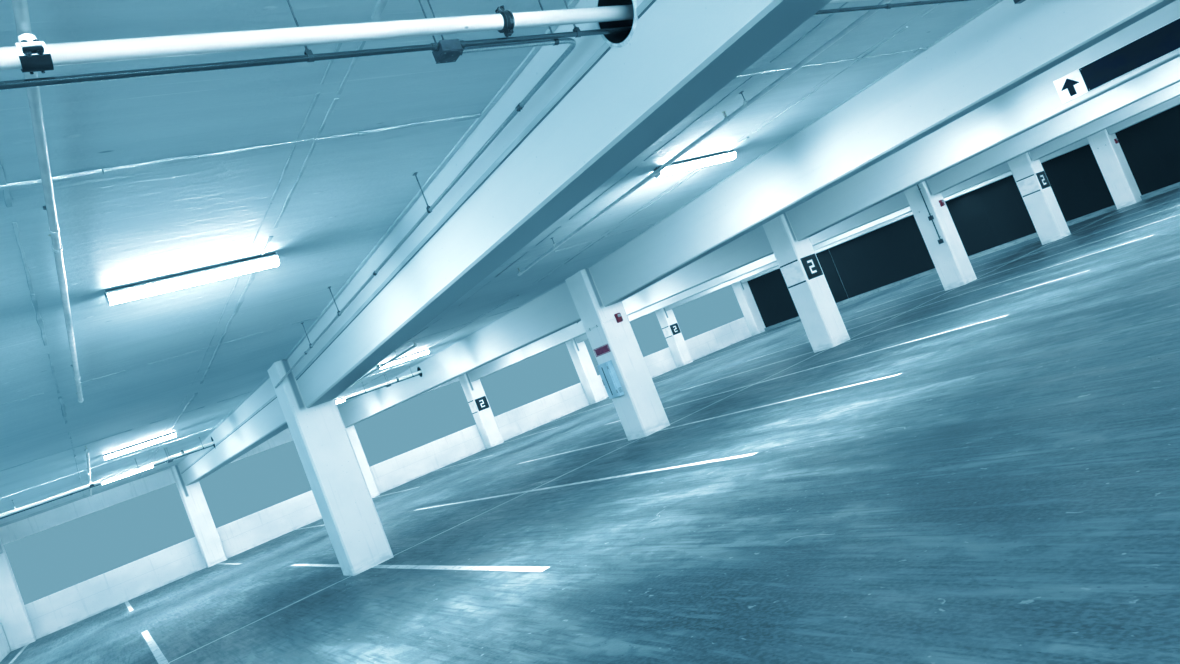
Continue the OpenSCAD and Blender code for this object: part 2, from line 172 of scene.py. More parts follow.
def shrink(outline: Outline, by: float) -> Points:
    """Moves the sides of an outline inwards.

    Args:
        outline: Points in anticlockwise order.
        by: Distance to move each side; a negative one moves it outwards.

    Returns:
        The smaller outline, with as many points.
    """
    moved = []
    count = len(outline)
    for index in range(count):
        before = Vector(outline[index - 1])
        here = Vector(outline[index])
        after = Vector(outline[(index + 1) % count])
        one = (here - before).normalized()
        two = (after - here).normalized()
        first = Vector((-one.y, one.x))
        second = Vector((-two.y, two.x))
        point = here + (first + second) * by / max(0.3, 1.0 + first.dot(second))
        moved.append((point.x, point.y))
    return moved


def rectangle(width: float, height: float, cut: float = 0.0) -> Points:
    """Makes a rectangle about the origin.

    Args:
        width: Its size along the first axis.
        height: Its size along the second axis.
        cut: How much of each corner is cut off.

    Returns:
        Its corners in anticlockwise order.
    """
    w, h = width / 2, height / 2
    if cut <= 0:
        return [(-w, -h), (w, -h), (w, h), (-w, h)]
    return [
        (-w + cut, -h), (w - cut, -h), (w, -h + cut), (w, h - cut),
        (w - cut, h), (-w + cut, h), (-w, h - cut), (-w, -h + cut),
    ]


def arc(radius: float, angles: Iterable[float]) -> Points:
    """The points of an arc about the origin at these angles in degrees."""
    turns = [math.radians(angle) for angle in angles]
    return [(radius * math.cos(turn), radius * math.sin(turn)) for turn in turns]


def regular(radius: float, sides: int) -> Points:
    """The corners of a regular outline about the origin."""
    turns = [math.tau * index / sides for index in range(sides)]
    return [(radius * math.cos(turn), radius * math.sin(turn)) for turn in turns]


# Shapes


class Form:
    """Collects the faces of one piece and turns them into a dressed object."""

    sharpest: float = 35.0
    crown: float = 0.82
    least: float = 1e-5

    def __init__(self, name: str) -> None:
        """Starts an empty piece.

        Args:
            name: The name that it is reported under.
        """
        self.name = name
        self.place = Matrix.Identity(4)
        self.finish = 0
        self.points: list[Vector] = []
        self.faces: list[tuple[int, ...]] = []
        self.finishes: list[int] = []

    def at(self, place: Matrix, finish: int = 0) -> None:
        """Sets where the next shapes go and which finish they take."""
        self.place = place
        self.finish = finish

    def skin(self, rings: Sequence[Sequence[Sequence[float]]], wrap: bool = False) -> None:
        """Joins rings of points into one closed shape.

        Args:
            rings: Rings with equal counts of points, each anticlockwise about the
                direction in which the rings follow each other.
            wrap: Joins the last ring to the first, and otherwise both ends are closed.
        """
        base = len(self.points)
        size = len(rings[0])
        for ring in rings:
            self.points += [self.place @ Vector(point) for point in ring]
        made = []
        steps = len(rings) if wrap else len(rings) - 1
        for step in range(steps):
            low = base + step * size
            high = base + (step + 1) % len(rings) * size
            for index in range(size):
                after = (index + 1) % size
                made.append((low + index, low + after, high + after, high + index))
        if not wrap:
            made.append(tuple(base + size - 1 - index for index in range(size)))
            top = base + (len(rings) - 1) * size
            made.append(tuple(top + index for index in range(size)))
        self.faces += made
        self.finishes += [self.finish] * len(made)

    def prism(self, outline: Outline, low: float, high: float, bevel: float = 0.0) -> None:
        """Draws an outline out along Z.

        Args:
            outline: Its section, in anticlockwise order.
            low: Height of its lower end.
            high: Height of its upper end.
            bevel: Width of the softened edges of both ends.
        """
        levels = [(outline, low), (outline, high)]
        if bevel > 0:
            small = shrink(outline, bevel)
            levels = [
                (small, low), (outline, low + bevel),
                (outline, high - bevel), (small, high),
            ]
        self.skin([[(u, v, level) for u, v in shape] for shape, level in levels])

    def block(self, low: Sequence[float], high: Sequence[float], bevel: float = 0.0) -> None:
        """Makes a box along the axes.

        Args:
            low: Its lowest corner.
            high: Its highest corner.
            bevel: Width of its softened edges.
        """
        keep = self.place
        mid = [(a + b) / 2 for a, b in zip(low, high)]
        self.place = keep @ Matrix.Translation((mid[0], mid[1], 0.0))
        shape = rectangle(high[0] - low[0], high[1] - low[1], bevel)
        self.prism(shape, low[2], high[2], bevel)
        self.place = keep

    def lathe(self, profile: Outline, sides: int = 16, wrap: bool = False) -> None:
        """Turns a profile about Z.

        Args:
            profile: Radius and height of each ring, with the outer wall going up.
            sides: Faces round the turn.
            wrap: Closes the profile into a ring instead of closing both ends.
        """
        rings = []
        for radius, height in profile:
            rings.append([(u, v, height) for u, v in regular(max(radius, self.least), sides)])
        self.skin(rings, wrap)

    def tube(self, path: Sequence[Sequence[float]], radius: float) -> None:
        """Draws a round bar along a path.

        Args:
            path: Points of its centre line.
            radius: Radius of the bar.
        """
        spots = [Vector(point) for point in path]
        rings = []
        side = Vector((0.0, 0.0, 1.0))
        for index, spot in enumerate(spots):
            ahead = spots[min(index + 1, len(spots) - 1)] - spots[max(index - 1, 0)]
            ahead.normalize()
            if abs(ahead.dot(side)) > 0.95:
                side = ahead.orthogonal()
            side = (side - ahead * side.dot(ahead)).normalized()
            third = ahead.cross(side)
            rings.append([spot + side * u + third * v for u, v in regular(radius, 6)])
        self.skin(rings)

    def band(self, outer: Outline, inner: Outline, width: float) -> None:
        """Makes a flat ring, centred on Z.

        Args:
            outer: Its outer outline.
            inner: Its inner outline, with as many points.
            width: Its width along Z.
        """
        half = width / 2
        levels = ((outer, -half), (outer, half), (inner, half), (inner, -half))
        self.skin([[(u, v, w) for u, v in shape] for shape, w in levels], wrap=True)

    def strip(
        self,
        start: Vector,
        end: Vector,
        up: Vector,
        width: float,
        height: float,
        wobble: float = 0.0,
        step: float = 0.3,
    ) -> None:
        """Lays a thin strip along a line, with crooked edges.

        Args:
            start: Middle of its first end, on the surface.
            end: Middle of its last end, on the surface.
            up: Direction away from the surface.
            width: Width in metres.
            height: Thickness in metres.
            wobble: How far the edges and the top wander, as a share of the width.
            step: Distance between its sections.
        """
        ahead = (end - start).normalized()
        away = up.normalized()
        side = away.cross(ahead)
        count = max(1, round((end - start).length / step))
        rings = []
        for index in range(count + 1):
            spot = start.lerp(end, index / count)
            left = width / 2 * (1 + wobble * noise.noise(spot * 3.1 + side))
            right = width / 2 * (1 + wobble * noise.noise(spot * 3.7 - side))
            top = height * (1 + 0.8 * wobble * noise.noise(spot * 2.3))
            rings.append([
                spot + side * left, spot + side * left * self.crown + away * top,
                spot - side * right * self.crown + away * top, spot - side * right,
            ])
        self.skin(rings)

    def bolt(self, place: Matrix, radius: float, grip: float, finish: int = 0) -> None:
        """Sets a hex bolt with its nut.

        Args:
            place: The middle of its grip, with the bolt along Z.
            radius: Radius of its thread.
            grip: Thickness that it clamps.
            finish: Number of its finish.
        """
        self.at(place, finish)
        head = regular(radius * 1.8, 6)
        thick = radius * 1.3
        half = grip / 2
        self.prism(head, half, half + thick, radius * 0.15)
        self.prism(head, -half - thick, -half, radius * 0.15)
        self.lathe([(radius, -half - 2.2 * thick), (radius, -half - thick)], 8)

    def screw(self, place: Matrix, radius: float, finish: int = 0) -> None:
        """Sets a low domed screw head.

        Args:
            place: The surface under it, with the head towards Z.
            radius: Radius of the head.
            finish: Number of its finish.
        """
        self.at(place, finish)
        profile = [
            (radius, 0.0), (radius * 0.95, radius * 0.3),
            (radius * 0.6, radius * 0.5), (radius * 0.25, radius * 0.5),
            (radius * 0.2, radius * 0.25),
        ]
        self.lathe(profile, 10)

    def corner_screws(self, place: Matrix, reach: Triple, radius: float, finish: int) -> None:
        """Sets a screw near each corner of a plate that looks along Z.

        Args:
            place: The middle of the plate.
            reach: How far the screws stand from the middle along X, Y and Z.
            radius: Radius of the heads.
            finish: Number of their finish.
        """
        for u in (-reach[0], reach[0]):
            for v in (-reach[1], reach[1]):
                self.screw(place @ placed(u, v, reach[2]), radius, finish)

    def make(
        self, finishes: Sequence["Finish"], slot: str, replaces: Sequence[str] = ()
    ) -> None:
        """Builds the object, dresses it and lets it ride on the frame.

        Args:
            finishes: The finishes that the shapes were given by number.
            slot: The record's slot that the piece belongs to; not used.
            replaces: Frame nodes that the piece stands for.
        """
        mesh = bpy.data.meshes.new(self.name)
        mesh.from_pydata(self.points, [], self.faces)
        for finish in finishes:
            mesh.materials.append(finish.made())
        mesh.polygons.foreach_set("material_index", self.finishes)
        mesh.shade_smooth()
        mesh.set_sharp_from_angle(angle=math.radians(self.sharpest))
        mesh.update()
        piece = bpy.data.objects.new(self.name, mesh)
        bpy.context.scene.collection.objects.link(piece)
        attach(piece, "root")
        if replaces:
            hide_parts(*replaces)
        LOG.info("%s: %d faces", self.name, len(self.faces))


# Finishes


def linear(colour: str) -> tuple[float, float, float, float]:
    """Turns an sRGB colour into a linear one.

    Args:
        colour: Hex value such as '#d3e8ee'.

    Returns:
        Red, green, blue and a full alpha.
    """
    parts = [int(colour[start : start + 2], 16) / 255 for start in (1, 3, 5)]
    red, green, blue = (
        part / 12.92 if part <= 0.04045 else ((part + 0.055) / 1.055) ** 2.4
        for part in parts
    )
    return (red, green, blue, 1.0)


def add_node(
    tree: Tree,
    kind: str,
    settings: dict[str | int, object] | None = None,
    links: dict[str | int, Socket] | None = None,
) -> bpy.types.Node:
    """Adds a node with its settings and links.

    Args:
        tree: The tree that takes the node.
        kind: The node's type name after ShaderNode.
        settings: Values by socket name or number, or by the node's own property.
        links: Sockets that feed the node, by the name or number of its input.

    Returns:
        The new node.
    """
    node = tree.nodes.new("ShaderNode" + kind)
    for key, value in (settings or {}).items():
        if isinstance(key, int) or key in node.inputs:
            node.inputs[key].default_value = value
        else:
            setattr(node, key, value)
    for key, source in (links or {}).items():
        tree.links.new(source, node.inputs[key])
    return node


class Pattern(Enum):
    """The ways in which a mark spreads over a surface."""

    CLOUD = "soft patches"
    SPECK = "small dots"
    RULE = "straight lines at a fixed spacing"
    UPWARD = "faces by how far they look up"


@dataclass(frozen=True)
class Mark:
    """One layer of colour, gloss and relief on a finish.

    Sizes are in millimetres along X, Y and Z. For lines at a fixed spacing the size
    is the spacing, and low and high are the half width in millimetres.
    """

    pattern: Pattern
    size: Triple = (100.0, 100.0, 100.0)
    low: float = 0.45
    high: float = 0.65
    tint: str = ""
    share: float = 1.0
    rough: float = 0.0
    relief: float = 0.0
    detail: float = 3.0
    warp: float = 0.0
    axis: int = 0
    phase: float = 0.0
    fade: tuple[int, float, float] | None = None
    fade_too: tuple[int, float, float] | None = None

    def spread(self, tree: Tree, spot: Socket) -> Socket:
        """Adds the nodes that say where the mark shows.

        Args:
            tree: The tree that takes the nodes.
            spot: The place on the object, in metres.

        Returns:
            The mark's strength, from 0 to 1.
        """
        if self.pattern is Pattern.UPWARD:
            facing = add_node(tree, "NewGeometry")
            parts = add_node(tree, "SeparateXYZ", links={0: facing.outputs["Normal"]})
            shown = self.ramp(tree, parts.outputs["Z"], self.low, self.high)
        elif self.pattern is Pattern.RULE:
            parts = add_node(tree, "SeparateXYZ", links={0: spot})
            moved = add_node(tree, "Math", {"operation": "ADD", 1: -self.phase / 1000},
                             {0: parts.outputs[self.axis]})
            folded = add_node(tree, "Math", {"operation": "PINGPONG", 1: self.size[0] / 2000},
                              {0: moved.outputs[0]})
            shown = self.ramp(tree, folded.outputs[0], self.high / 1000, self.low / 1000)
        else:
            scale = [1000 / size for size in self.size]
            laid = add_node(tree, "VectorMath", {"operation": "MULTIPLY", 1: scale},
                            {0: spot}).outputs[0]
            if self.warp:
                drift = add_node(tree, "TexNoise", {"Scale": 0.9, "Detail": 2.0},
                                 {"Vector": laid})
                laid = add_node(tree, "VectorMath",
                                {"operation": "MULTIPLY_ADD", 1: [self.warp] * 3},
                                {0: drift.outputs["Color"], 2: laid}).outputs[0]
            if self.pattern is Pattern.CLOUD:
                cloud = add_node(tree, "TexNoise", {"Scale": 1.0, "Detail": self.detail},
                                 {"Vector": laid})
                shown = self.ramp(tree, cloud.outputs["Fac"], self.low, self.high)
            else:
                cells = add_node(tree, "TexVoronoi", {"Scale": 1.0}, {"Vector": laid})
                shown = self.ramp(tree, cells.outputs["Distance"], self.high, self.low)
        for fade in (self.fade, self.fade_too):
            if fade is None:
                continue
            parts = add_node(tree, "SeparateXYZ", links={0: spot})
            near = self.ramp(tree, parts.outputs[fade[0]], fade[2], fade[1])
            shown = add_node(tree, "Math", {"operation": "MULTIPLY"},
                             {0: shown, 1: near}).outputs[0]
        return shown

    @staticmethod
    def ramp(tree: Tree, value: Socket, gone: float, full: float) -> Socket:
        """Turns a value into a soft step.

        Args:
            tree: The tree that takes the node.
            value: The value that steps.
            gone: Where the step is 0.
            full: Where the step is 1.

        Returns:
            The step.
        """
        low, high = min(gone, full), max(gone, full)
        step = add_node(tree, "MapRange", {
            "interpolation_type": "SMOOTHSTEP", "From Min": low, "From Max": high,
            "To Min": 1.0 if gone > full else 0.0, "To Max": 0.0 if gone > full else 1.0,
        }, {"Value": value})
        return step.outputs["Result"]


@dataclass(frozen=True)
class Finish:
    """A surface as it was made and worn: base colour, gloss and its marks."""

    name: str
    base: str
    rough: float
    marks: tuple[Mark, ...]
    metallic: float = 0.0
    ior: float = 1.5
    coat: float = 0.0
    sheer: float = 0.0
    glow: float = 0.0

    def made(self) -> bpy.types.Material:
        """Returns the material, built on its first use."""
        found = bpy.data.materials.get(self.name)
        return found if found is not None else self.build()

    def build(self) -> bpy.types.Material:
        """Builds the material's nodes from the base and the marks.

        Returns:
            The new material.
        """
        material = bpy.data.materials.new(self.name)
        material.use_nodes = True
        tree = material.node_tree
        tree.nodes.clear()
        settings: dict[str | int, object] = {
            "Metallic": self.metallic, "IOR": self.ior, "Coat Weight": self.coat,
            "Base Color": linear(self.base), "Roughness": self.rough,
            "Transmission Weight": self.sheer,
        }
        if self.glow:
            settings["Emission Color"] = linear(self.base)
            settings["Emission Strength"] = self.glow
        shader = add_node(tree, "BsdfPrincipled", settings)
        place = add_node(tree, "TexCoord")
        spot = place.outputs["Object"]
        colour = gloss = height = None
        for mark in self.marks:
            shown = mark.spread(tree, spot)
            if mark.tint:
                amount = add_node(tree, "Math", {"operation": "MULTIPLY", 1: mark.share},
                                  {0: shown})
                mixed = add_node(
                    tree, "Mix",
                    {"data_type": "RGBA", 6: linear(self.base), 7: linear(mark.tint)},
                    {0: amount.outputs[0], **({6: colour} if colour else {})},
                )
                colour = mixed.outputs[2]
            if mark.rough:
                gloss = self.gather(tree, shown, mark.rough, gloss, self.rough)
            if mark.relief:
                height = self.gather(tree, shown, mark.relief / 1000, height, 0.0)
        if colour:
            tree.links.new(colour, shader.inputs["Base Color"])
        if gloss:
            tree.links.new(gloss, shader.inputs["Roughness"])
        if height:
            bump = add_node(tree, "Bump", {"Strength": 1.0, "Distance": 1.0},
                            {"Height": height})
            tree.links.new(bump.outputs[0], shader.inputs["Normal"])
        end = add_node(tree, "OutputMaterial")
        tree.links.new(shader.outputs[0], end.inputs["Surface"])
        return material

    @staticmethod
    def gather(tree: Tree, shown: Socket, amount: float, before: Socket | None,
               start: float) -> Socket:
        """Adds a mark's amount to a running total.

        Args:
            tree: The tree that takes the node.
            shown: Where the mark shows, from 0 to 1.
            amount: What the mark adds at full strength.
            before: The total so far, or None for the first mark.
            start: The total before the first mark.

        Returns:
            The new total.
        """
        total = add_node(
            tree, "Math", {"operation": "MULTIPLY_ADD", 1: amount, 2: start},
            {0: shown, **({2: before} if before else {})},
        )
        return total.outputs[0]


CLOUD = partial(Mark, Pattern.CLOUD)
SPECK = partial(Mark, Pattern.SPECK)
RULE = partial(Mark, Pattern.RULE)
UPWARD = partial(Mark, Pattern.UPWARD)


def grain(size: float, relief: float) -> Mark:
    """The fine skin that a roller, a spray or a mould leaves, drawn coarser to show."""
    return CLOUD((size, size, size), 0.3, 0.7, relief=relief, detail=2)


# White masonry paint rolled onto cast columns: an eggshell sheen over pinholes, with
# faint drip streaks and road dirt near the floor; the dark band at the column tops beside
# the beams is painted shade where the beams meet the columns.
COLUMN_PAINT = Finish("white_masonry_paint_on_columns", "#e4e8e9", 0.46, (
    CLOUD((900, 900, 700), 0.35, 0.7, "#d5dbdd", 0.45, 0.06, 0.6),
    grain(14, 0.25),
    SPECK((90, 90, 90), 0.03, 0.08, "#acb3b6", 0.5, relief=-0.7),
    CLOUD((45, 45, 1100), 0.58, 0.76, "#c1c8cb", 0.25, 0.08),
    CLOUD((260, 260, 70), 0.34, 0.7, "#a2a9ac", 0.55, 0.12, 0.3, fade=(2, 0.2, 0.42)),
    # Painted shade: a dark band on the column tops beside each beam.
    RULE((5486, 0, 0), 20, 62, "#707b80", 0.85, axis=0, phase=-168, fade=(2, 2.68, 2.6)),
))
# The same paint on the beams: long soft roller laps and pinholes, a little duller on the
# faces, and darker on the soffit, which is painted shade on the faces that look down.
BEAM_PAINT = Finish("white_masonry_paint_on_beams", "#e4e8e9", 0.44, (
    CLOUD((600, 3200, 420), 0.35, 0.7, "#d7dddf", 0.5, 0.06, 0.8),
    grain(14, 0.22),
    SPECK((120, 120, 120), 0.03, 0.08, "#b5bcbf", 0.5, relief=-0.8),
    CLOUD((300, 2400, 60), 0.55, 0.78, "#c9d0d3", 0.2, relief=0.4),
    UPWARD(low=-0.9, high=-0.4, tint="#bcc3c6", share=0.55, rough=0.1),
    # Painted shade: the faces that look down are darkened.
    UPWARD(low=-0.5, high=-0.9, tint="#9aa1a4", share=0.85, rough=0.1),
))
# Slab cast on plywood and sprayed thinly: a satin skin that shows the sheets, their
# ripples, blisters and laitance runs, and on top a trowelled running surface.
DECK_PAINT = Finish("thin_sprayed_paint_on_slab", "#bdc6ca", 0.48, (
    CLOUD((2200, 900, 900), 0.32, 0.7, "#aab4b9", 0.6, 0.05),
    CLOUD((900, 110, 110), 0.3, 0.7, "#c7d0d3", 0.4, 0.04, 2.0),
    CLOUD((280, 44, 44), 0.4, 0.75, relief=2.2, detail=2),
    CLOUD((36, 36, 36), 0.35, 0.7, relief=0.5, detail=3),
    SPECK((420, 200, 200), 0.03, 0.1, "#d3d9db", 0.5, relief=4.0),
    SPECK((900, 260, 260), 0.02, 0.05, "#737c81", 0.7, relief=-2.0),
    CLOUD((1400, 30, 30), 0.66, 0.72, "#d7dddf", 0.4, relief=0.8, warp=0.5),
    UPWARD(low=0.3, high=0.6, tint="#7f8587", share=0.8, rough=0.25),
))
# Power trowelled concrete polished by tyres: satin grey with long sweeps across the
# aisle, dry brushed streaks, mottled laitance, pale dust, pores and oil stains. It is
# painted paler in the back aisle as a painted reflection of far lit surfaces, and darker
# beside the middle row as painted shade.
FLOOR_CONCRETE = Finish("tyre_polished_trowelled_concrete", "#4c565a", 0.42, (
    CLOUD((1500, 4600, 900), 0.38, 0.64, "#717c80", 0.7, 0.05),
    CLOUD((500, 2000, 400), 0.44, 0.62, "#838e92", 0.7, -0.03, warp=0.9),
    CLOUD((620, 3000, 400), 0.46, 0.6, "#262e31", 0.85, -0.08, warp=0.8),
    CLOUD((200, 900, 300), 0.47, 0.62, "#2f383c", 0.7, -0.05, warp=0.8),
    CLOUD((34, 620, 60), 0.47, 0.66, "#2d363a", 0.65, 0.06, 0.3, 5, warp=0.4),
    CLOUD((48, 480, 60), 0.52, 0.7, "#8a9599", 0.45, 0.08, 0.3, 5, warp=0.5),
    CLOUD((130, 200, 60), 0.46, 0.62, "#3f494d", 0.5, 0.05, 0.5, 8, warp=0.8),
    # Painted reflection: paler in the back aisle.
    CLOUD((2600, 2200, 600), 0.3, 0.55, "#98a2a6", 0.55, 0.03,
          fade=(1, 11.5, 13.5), fade_too=(1, 7.5, 5.5)),
    # Painted shade: darker beside the middle row.
    CLOUD((1700, 1100, 400), 0.22, 0.5, "#1b2124", 0.9, -0.04, warp=0.5,
          fade=(1, 0.5, 2.6), fade_too=(1, -1.2, -3.2)),
    CLOUD((22, 34, 20), 0.4, 0.64, "#7d888c", 0.4, 0.1, 0.6, 5),
    SPECK((170, 170, 170), 0.03, 0.07, "#aeb6b9", 0.6),
    SPECK((60, 90, 90), 0.05, 0.13, "#2a3235", 0.6, relief=-0.6),
    SPECK((900, 700, 700), 0.03, 0.14, "#2a3134", 0.5, -0.1),
    CLOUD((60, 120, 60), 0.68, 0.74, "#aab2b5", 0.6, warp=1.5),
))
# Precast panels painted outside and in: flat, with rain streaks below the joints.
PANEL_PAINT = Finish("painted_precast_panel", "#e2e6e7", 0.6, (
    CLOUD((1400, 1400, 900), 0.35, 0.7, "#c7cdd0", 0.5, 0.05, 0.6),
    grain(14, 0.3),
    CLOUD((90, 90, 1500), 0.56, 0.76, "#b6bcbf", 0.3, 0.08),
    CLOUD((300, 300, 90), 0.4, 0.7, "#9ca3a6", 0.5, 0.1, fade=(2, 0.2, 0.36)),
    SPECK((80, 80, 80), 0.05, 0.12, "#a3a9ac", 0.5, relief=-0.8),
    RULE((600, 0, 0), 2.0, 6.0, "#b5bcbf", 0.5, relief=-3.0, axis=2, phase=200),
))
# Near black matt finish on the closed end, with lighter patches.
DARK_WALL = Finish("near_black_end_finish", "#0d0f10", 0.75, (
    CLOUD((1100, 1100, 700), 0.35, 0.7, "#151819", 0.6, 0.05, 0.6),
    grain(14, 0.35),
    CLOUD((60, 60, 900), 0.56, 0.74, "#1d2123", 0.4, 0.06),
    RULE((1200, 0, 0), 3.0, 7.0, "#141618", 0.8, relief=-2.0, axis=1),
))
# Bare concrete kerb: mid grey, polished dark by tyres along its edge.
KERB_CONCRETE = Finish("tyre_rubbed_concrete_kerb", "#838a8d", 0.55, (
    CLOUD((500, 500, 40), 0.48, 0.66, "#53585b", 0.6, 0.08, 0.4),
    grain(14, 0.4),
    CLOUD((120, 120, 120), 0.58, 0.68, "#6a7073", 0.7, relief=-0.6),
))
# White gloss enamel sprayed on steel pipe: sharp highlights, dust on the upper side.
PIPE_ENAMEL = Finish("white_gloss_enamel_on_pipe", "#e8eced", 0.28, (
    CLOUD((700, 90, 90), 0.4, 0.7, "#cdd3d6", 0.5, 0.08, 0.15),
    grain(20, 0.08),
    SPECK((160, 90, 90), 0.03, 0.1, "#838a8d", 0.7, 0.2, 0.3),
    UPWARD(low=0.35, high=0.95, tint="#a2a8ab", share=0.6, rough=0.35),
), coat=0.3)
# Ductile iron couplings, dipped dark and caught by white overspray from the side.
COUPLING_IRON = Finish("dipped_ductile_iron", "#262a2c", 0.45, (
    CLOUD((60, 60, 60), 0.44, 0.62, "#b9bfc1", 0.75, 0.15, 0.3),
    grain(6, 0.25),
), metallic=0.3)
# Blackened bolts of the couplings, with rubbed corners.
BOLT_STEEL = Finish("blackened_steel_bolt", "#33383b", 0.38, (
    CLOUD((12, 12, 12), 0.5, 0.7, "#8d9396", 0.6, -0.08),
    grain(3, 0.06),
), metallic=0.8)
# Zinc plated steel straps, rods and bolts: dull silver with darker handling marks.
ZINC_STEEL = Finish("zinc_plated_steel", "#a1a6a8", 0.42, (
    CLOUD((25, 25, 60), 0.42, 0.68, "#606568", 0.7, 0.16),
    RULE((3.5, 0, 0), 0.3, 1.4, "#4e5255", 0.5, relief=-0.3, axis=2),
), metallic=0.85)
# Galvanized conduit gone dull: grey zinc that still throws a sharp line of light.
CONDUIT_ZINC = Finish("galvanized_steel_conduit", "#646d70", 0.22, (
    CLOUD((260, 60, 60), 0.4, 0.68, "#545d60", 0.5, 0.04),
    UPWARD(low=0.4, high=0.95, tint="#5c6366", share=0.6, rough=0.3),
), metallic=0.8)
# Newer galvanized conduit along the beams: brighter, with a fine spangle.
BEAM_ZINC = Finish("bright_galvanized_conduit", "#8f999d", 0.3, (
    CLOUD((160, 160, 60), 0.4, 0.68, "#7f898c", 0.6, 0.06),
    CLOUD((7, 7, 7), 0.4, 0.7, "#bcc4c7", 0.4, relief=0.04, detail=2),
), metallic=0.6)
# Pressed steel boxes in dark stove enamel with rubbed edges.
BOX_ENAMEL = Finish("dark_stove_enamel_on_steel", "#44494e", 0.4, (
    CLOUD((60, 60, 60), 0.42, 0.68, "#313437", 0.6, 0.12),
    CLOUD((5, 5, 5), 0.35, 0.7, relief=0.08, detail=2),
    SPECK((40, 40, 40), 0.05, 0.14, "#9da3a6", 0.6, 0.1),
), metallic=0.3)
# Chrome washed brass of the heads: warm grey, bright on its edges.
HEAD_BRASS = Finish("chrome_washed_brass", "#b9b7a2", 0.3, (
    CLOUD((9, 9, 9), 0.42, 0.68, "#8d8567", 0.5, 0.15, 0.03),
), metallic=1.0)
# Red glass bulb in each head.
BULB_GLASS = Finish("red_glass_bulb", "#b3202e", 0.08, (
    CLOUD((3, 3, 3), 0.4, 0.7, "#7d1420", 0.5),
), ior=1.47, coat=0.5)
# White stove enamel on folded sheet steel.
LAMP_ENAMEL = Finish("white_stove_enamel_on_sheet", "#e4e8e9", 0.32, (
    CLOUD((260, 40, 40), 0.42, 0.7, "#c6cbcd", 0.6, 0.1),
    grain(8, 0.04),
), coat=0.2)
# Spine of the lamps above the lens, given a dark grey that is painted shade.
LAMP_SPINE = Finish("lamp_spine_painted_shade", "#505558", 0.5, (
    CLOUD((260, 40, 40), 0.42, 0.7, "#404548", 0.6, 0.1),
    grain(8, 0.04),
), metallic=0.3)
# Opal acrylic wrap lit from inside: even and very bright.
LAMP_OPAL = Finish("lit_opal_acrylic", "#f3f8fa", 0.3, (
    RULE((4.0, 0, 0), 0.4, 1.6, relief=0.2, axis=1),
), ior=1.49, glow=42.0)
# Navy vinyl on an aluminium sign face.
SIGN_NAVY = Finish("navy_film_on_aluminium", "#02050d", 0.72, (
    CLOUD((240, 240, 160), 0.4, 0.7, "#050c1e", 0.7, 0.1),
    SPECK((70, 70, 70), 0.02, 0.08, "#1c2a3e", 0.5, 0.2),
))
# White vinyl on an aluminium sign face.
SIGN_WHITE = Finish("white_film_on_aluminium", "#eff2f3", 0.35, (
    CLOUD((200, 200, 120), 0.42, 0.7, "#d3d8da", 0.5, 0.1),
    SPECK((90, 90, 90), 0.02, 0.07, "#9da2a5", 0.6, 0.2),
), coat=0.2)
# Black enamel plates on the columns, with dust along the upper edge; the same black in
# the slots of the cabinet and the alarms is painted shade.
PLATE_BLACK = Finish("black_enamel_and_slot_shade", "#151718", 0.34, (
    CLOUD((160, 160, 110), 0.4, 0.7, "#272a2c", 0.7, 0.12),
    SPECK((60, 60, 60), 0.02, 0.09, "#6c7173", 0.5, 0.2),
), coat=0.2)
# Moulded red plastic of the alarms.
ALARM_RED = Finish("moulded_red_plastic", "#8c1026", 0.34, (
    CLOUD((50, 50, 50), 0.42, 0.7, "#640a1a", 0.6, 0.1),
    grain(2, 0.02),
), ior=1.53)
# Clear polycarbonate over the strobe.
CLEAR_LENS = Finish("clear_polycarbonate", "#e7ecee", 0.12, (
    RULE((6.0, 0, 0), 0.6, 2.0, relief=0.2, axis=0),
), ior=1.585, sheer=0.5)
# Pale blue powder coat on the cabinet.
CABINET_COAT = Finish("pale_blue_powder_coat", "#b9cbd8", 0.42, (
    CLOUD((150, 150, 260), 0.4, 0.7, "#a3b8c8", 0.6, 0.08),
    grain(3, 0.04),
    SPECK((50, 50, 50), 0.03, 0.1, "#42637a", 0.5, 0.2),
))
# Dark red enamel of the small notice.
NOTICE_RED = Finish("dark_red_enamel", "#8e0f40", 0.42, (
    CLOUD((120, 120, 60), 0.4, 0.7, "#6a0a30", 0.6, 0.1),
    SPECK((40, 40, 40), 0.03, 0.1, "#8a5068", 0.4, 0.2),
))
# Thermoplastic line paint: thick, white, worn to the concrete in patches.
LINE_PAINT = Finish("thermoplastic_line_paint", "#d0d5d7", 0.55, (
    CLOUD((900, 900, 900), 0.36, 0.7, "#adb4b7", 0.6, 0.05),
    CLOUD((60, 90, 60), 0.56, 0.66, "#878e91", 0.75, -0.1, -0.4, 6),
    SPECK((9, 9, 9), 0.15, 0.4, relief=0.2),
    CLOUD((1500, 120, 500), 0.6, 0.72, "#72797e", 0.5, -0.05),
))
# Grey polyurethane sealant in the joints, with dust.
SEALANT = Finish("grey_polyurethane_sealant", "#a5abae", 0.6, (
    CLOUD((90, 90, 90), 0.4, 0.68, "#bcc2c4", 0.6, 0.08),
    grain(8, 0.3),
))
# Laitance and paint that ran into the joints of the plywood sheets.
FIN_PAINT = Finish("painted_concrete_fin", "#b6bfc3", 0.5, (
    CLOUD((240, 240, 60), 0.4, 0.62, "#97a1a6", 0.8, 0.08),
    grain(12, 0.6),
))
# Dark grey dusty sealant in the floor joints; at the bottom of the first beams' grooves the
# same dark bead is painted shade for the groove's shadow.
GROOVE_SHADE_AND_JOINT = Finish("groove_shade_and_joint_sealant", "#5c6467", 0.75, (
    CLOUD((300, 300, 60), 0.4, 0.7, "#7d8689", 0.6, 0.08),
    grain(8, 0.3),
))
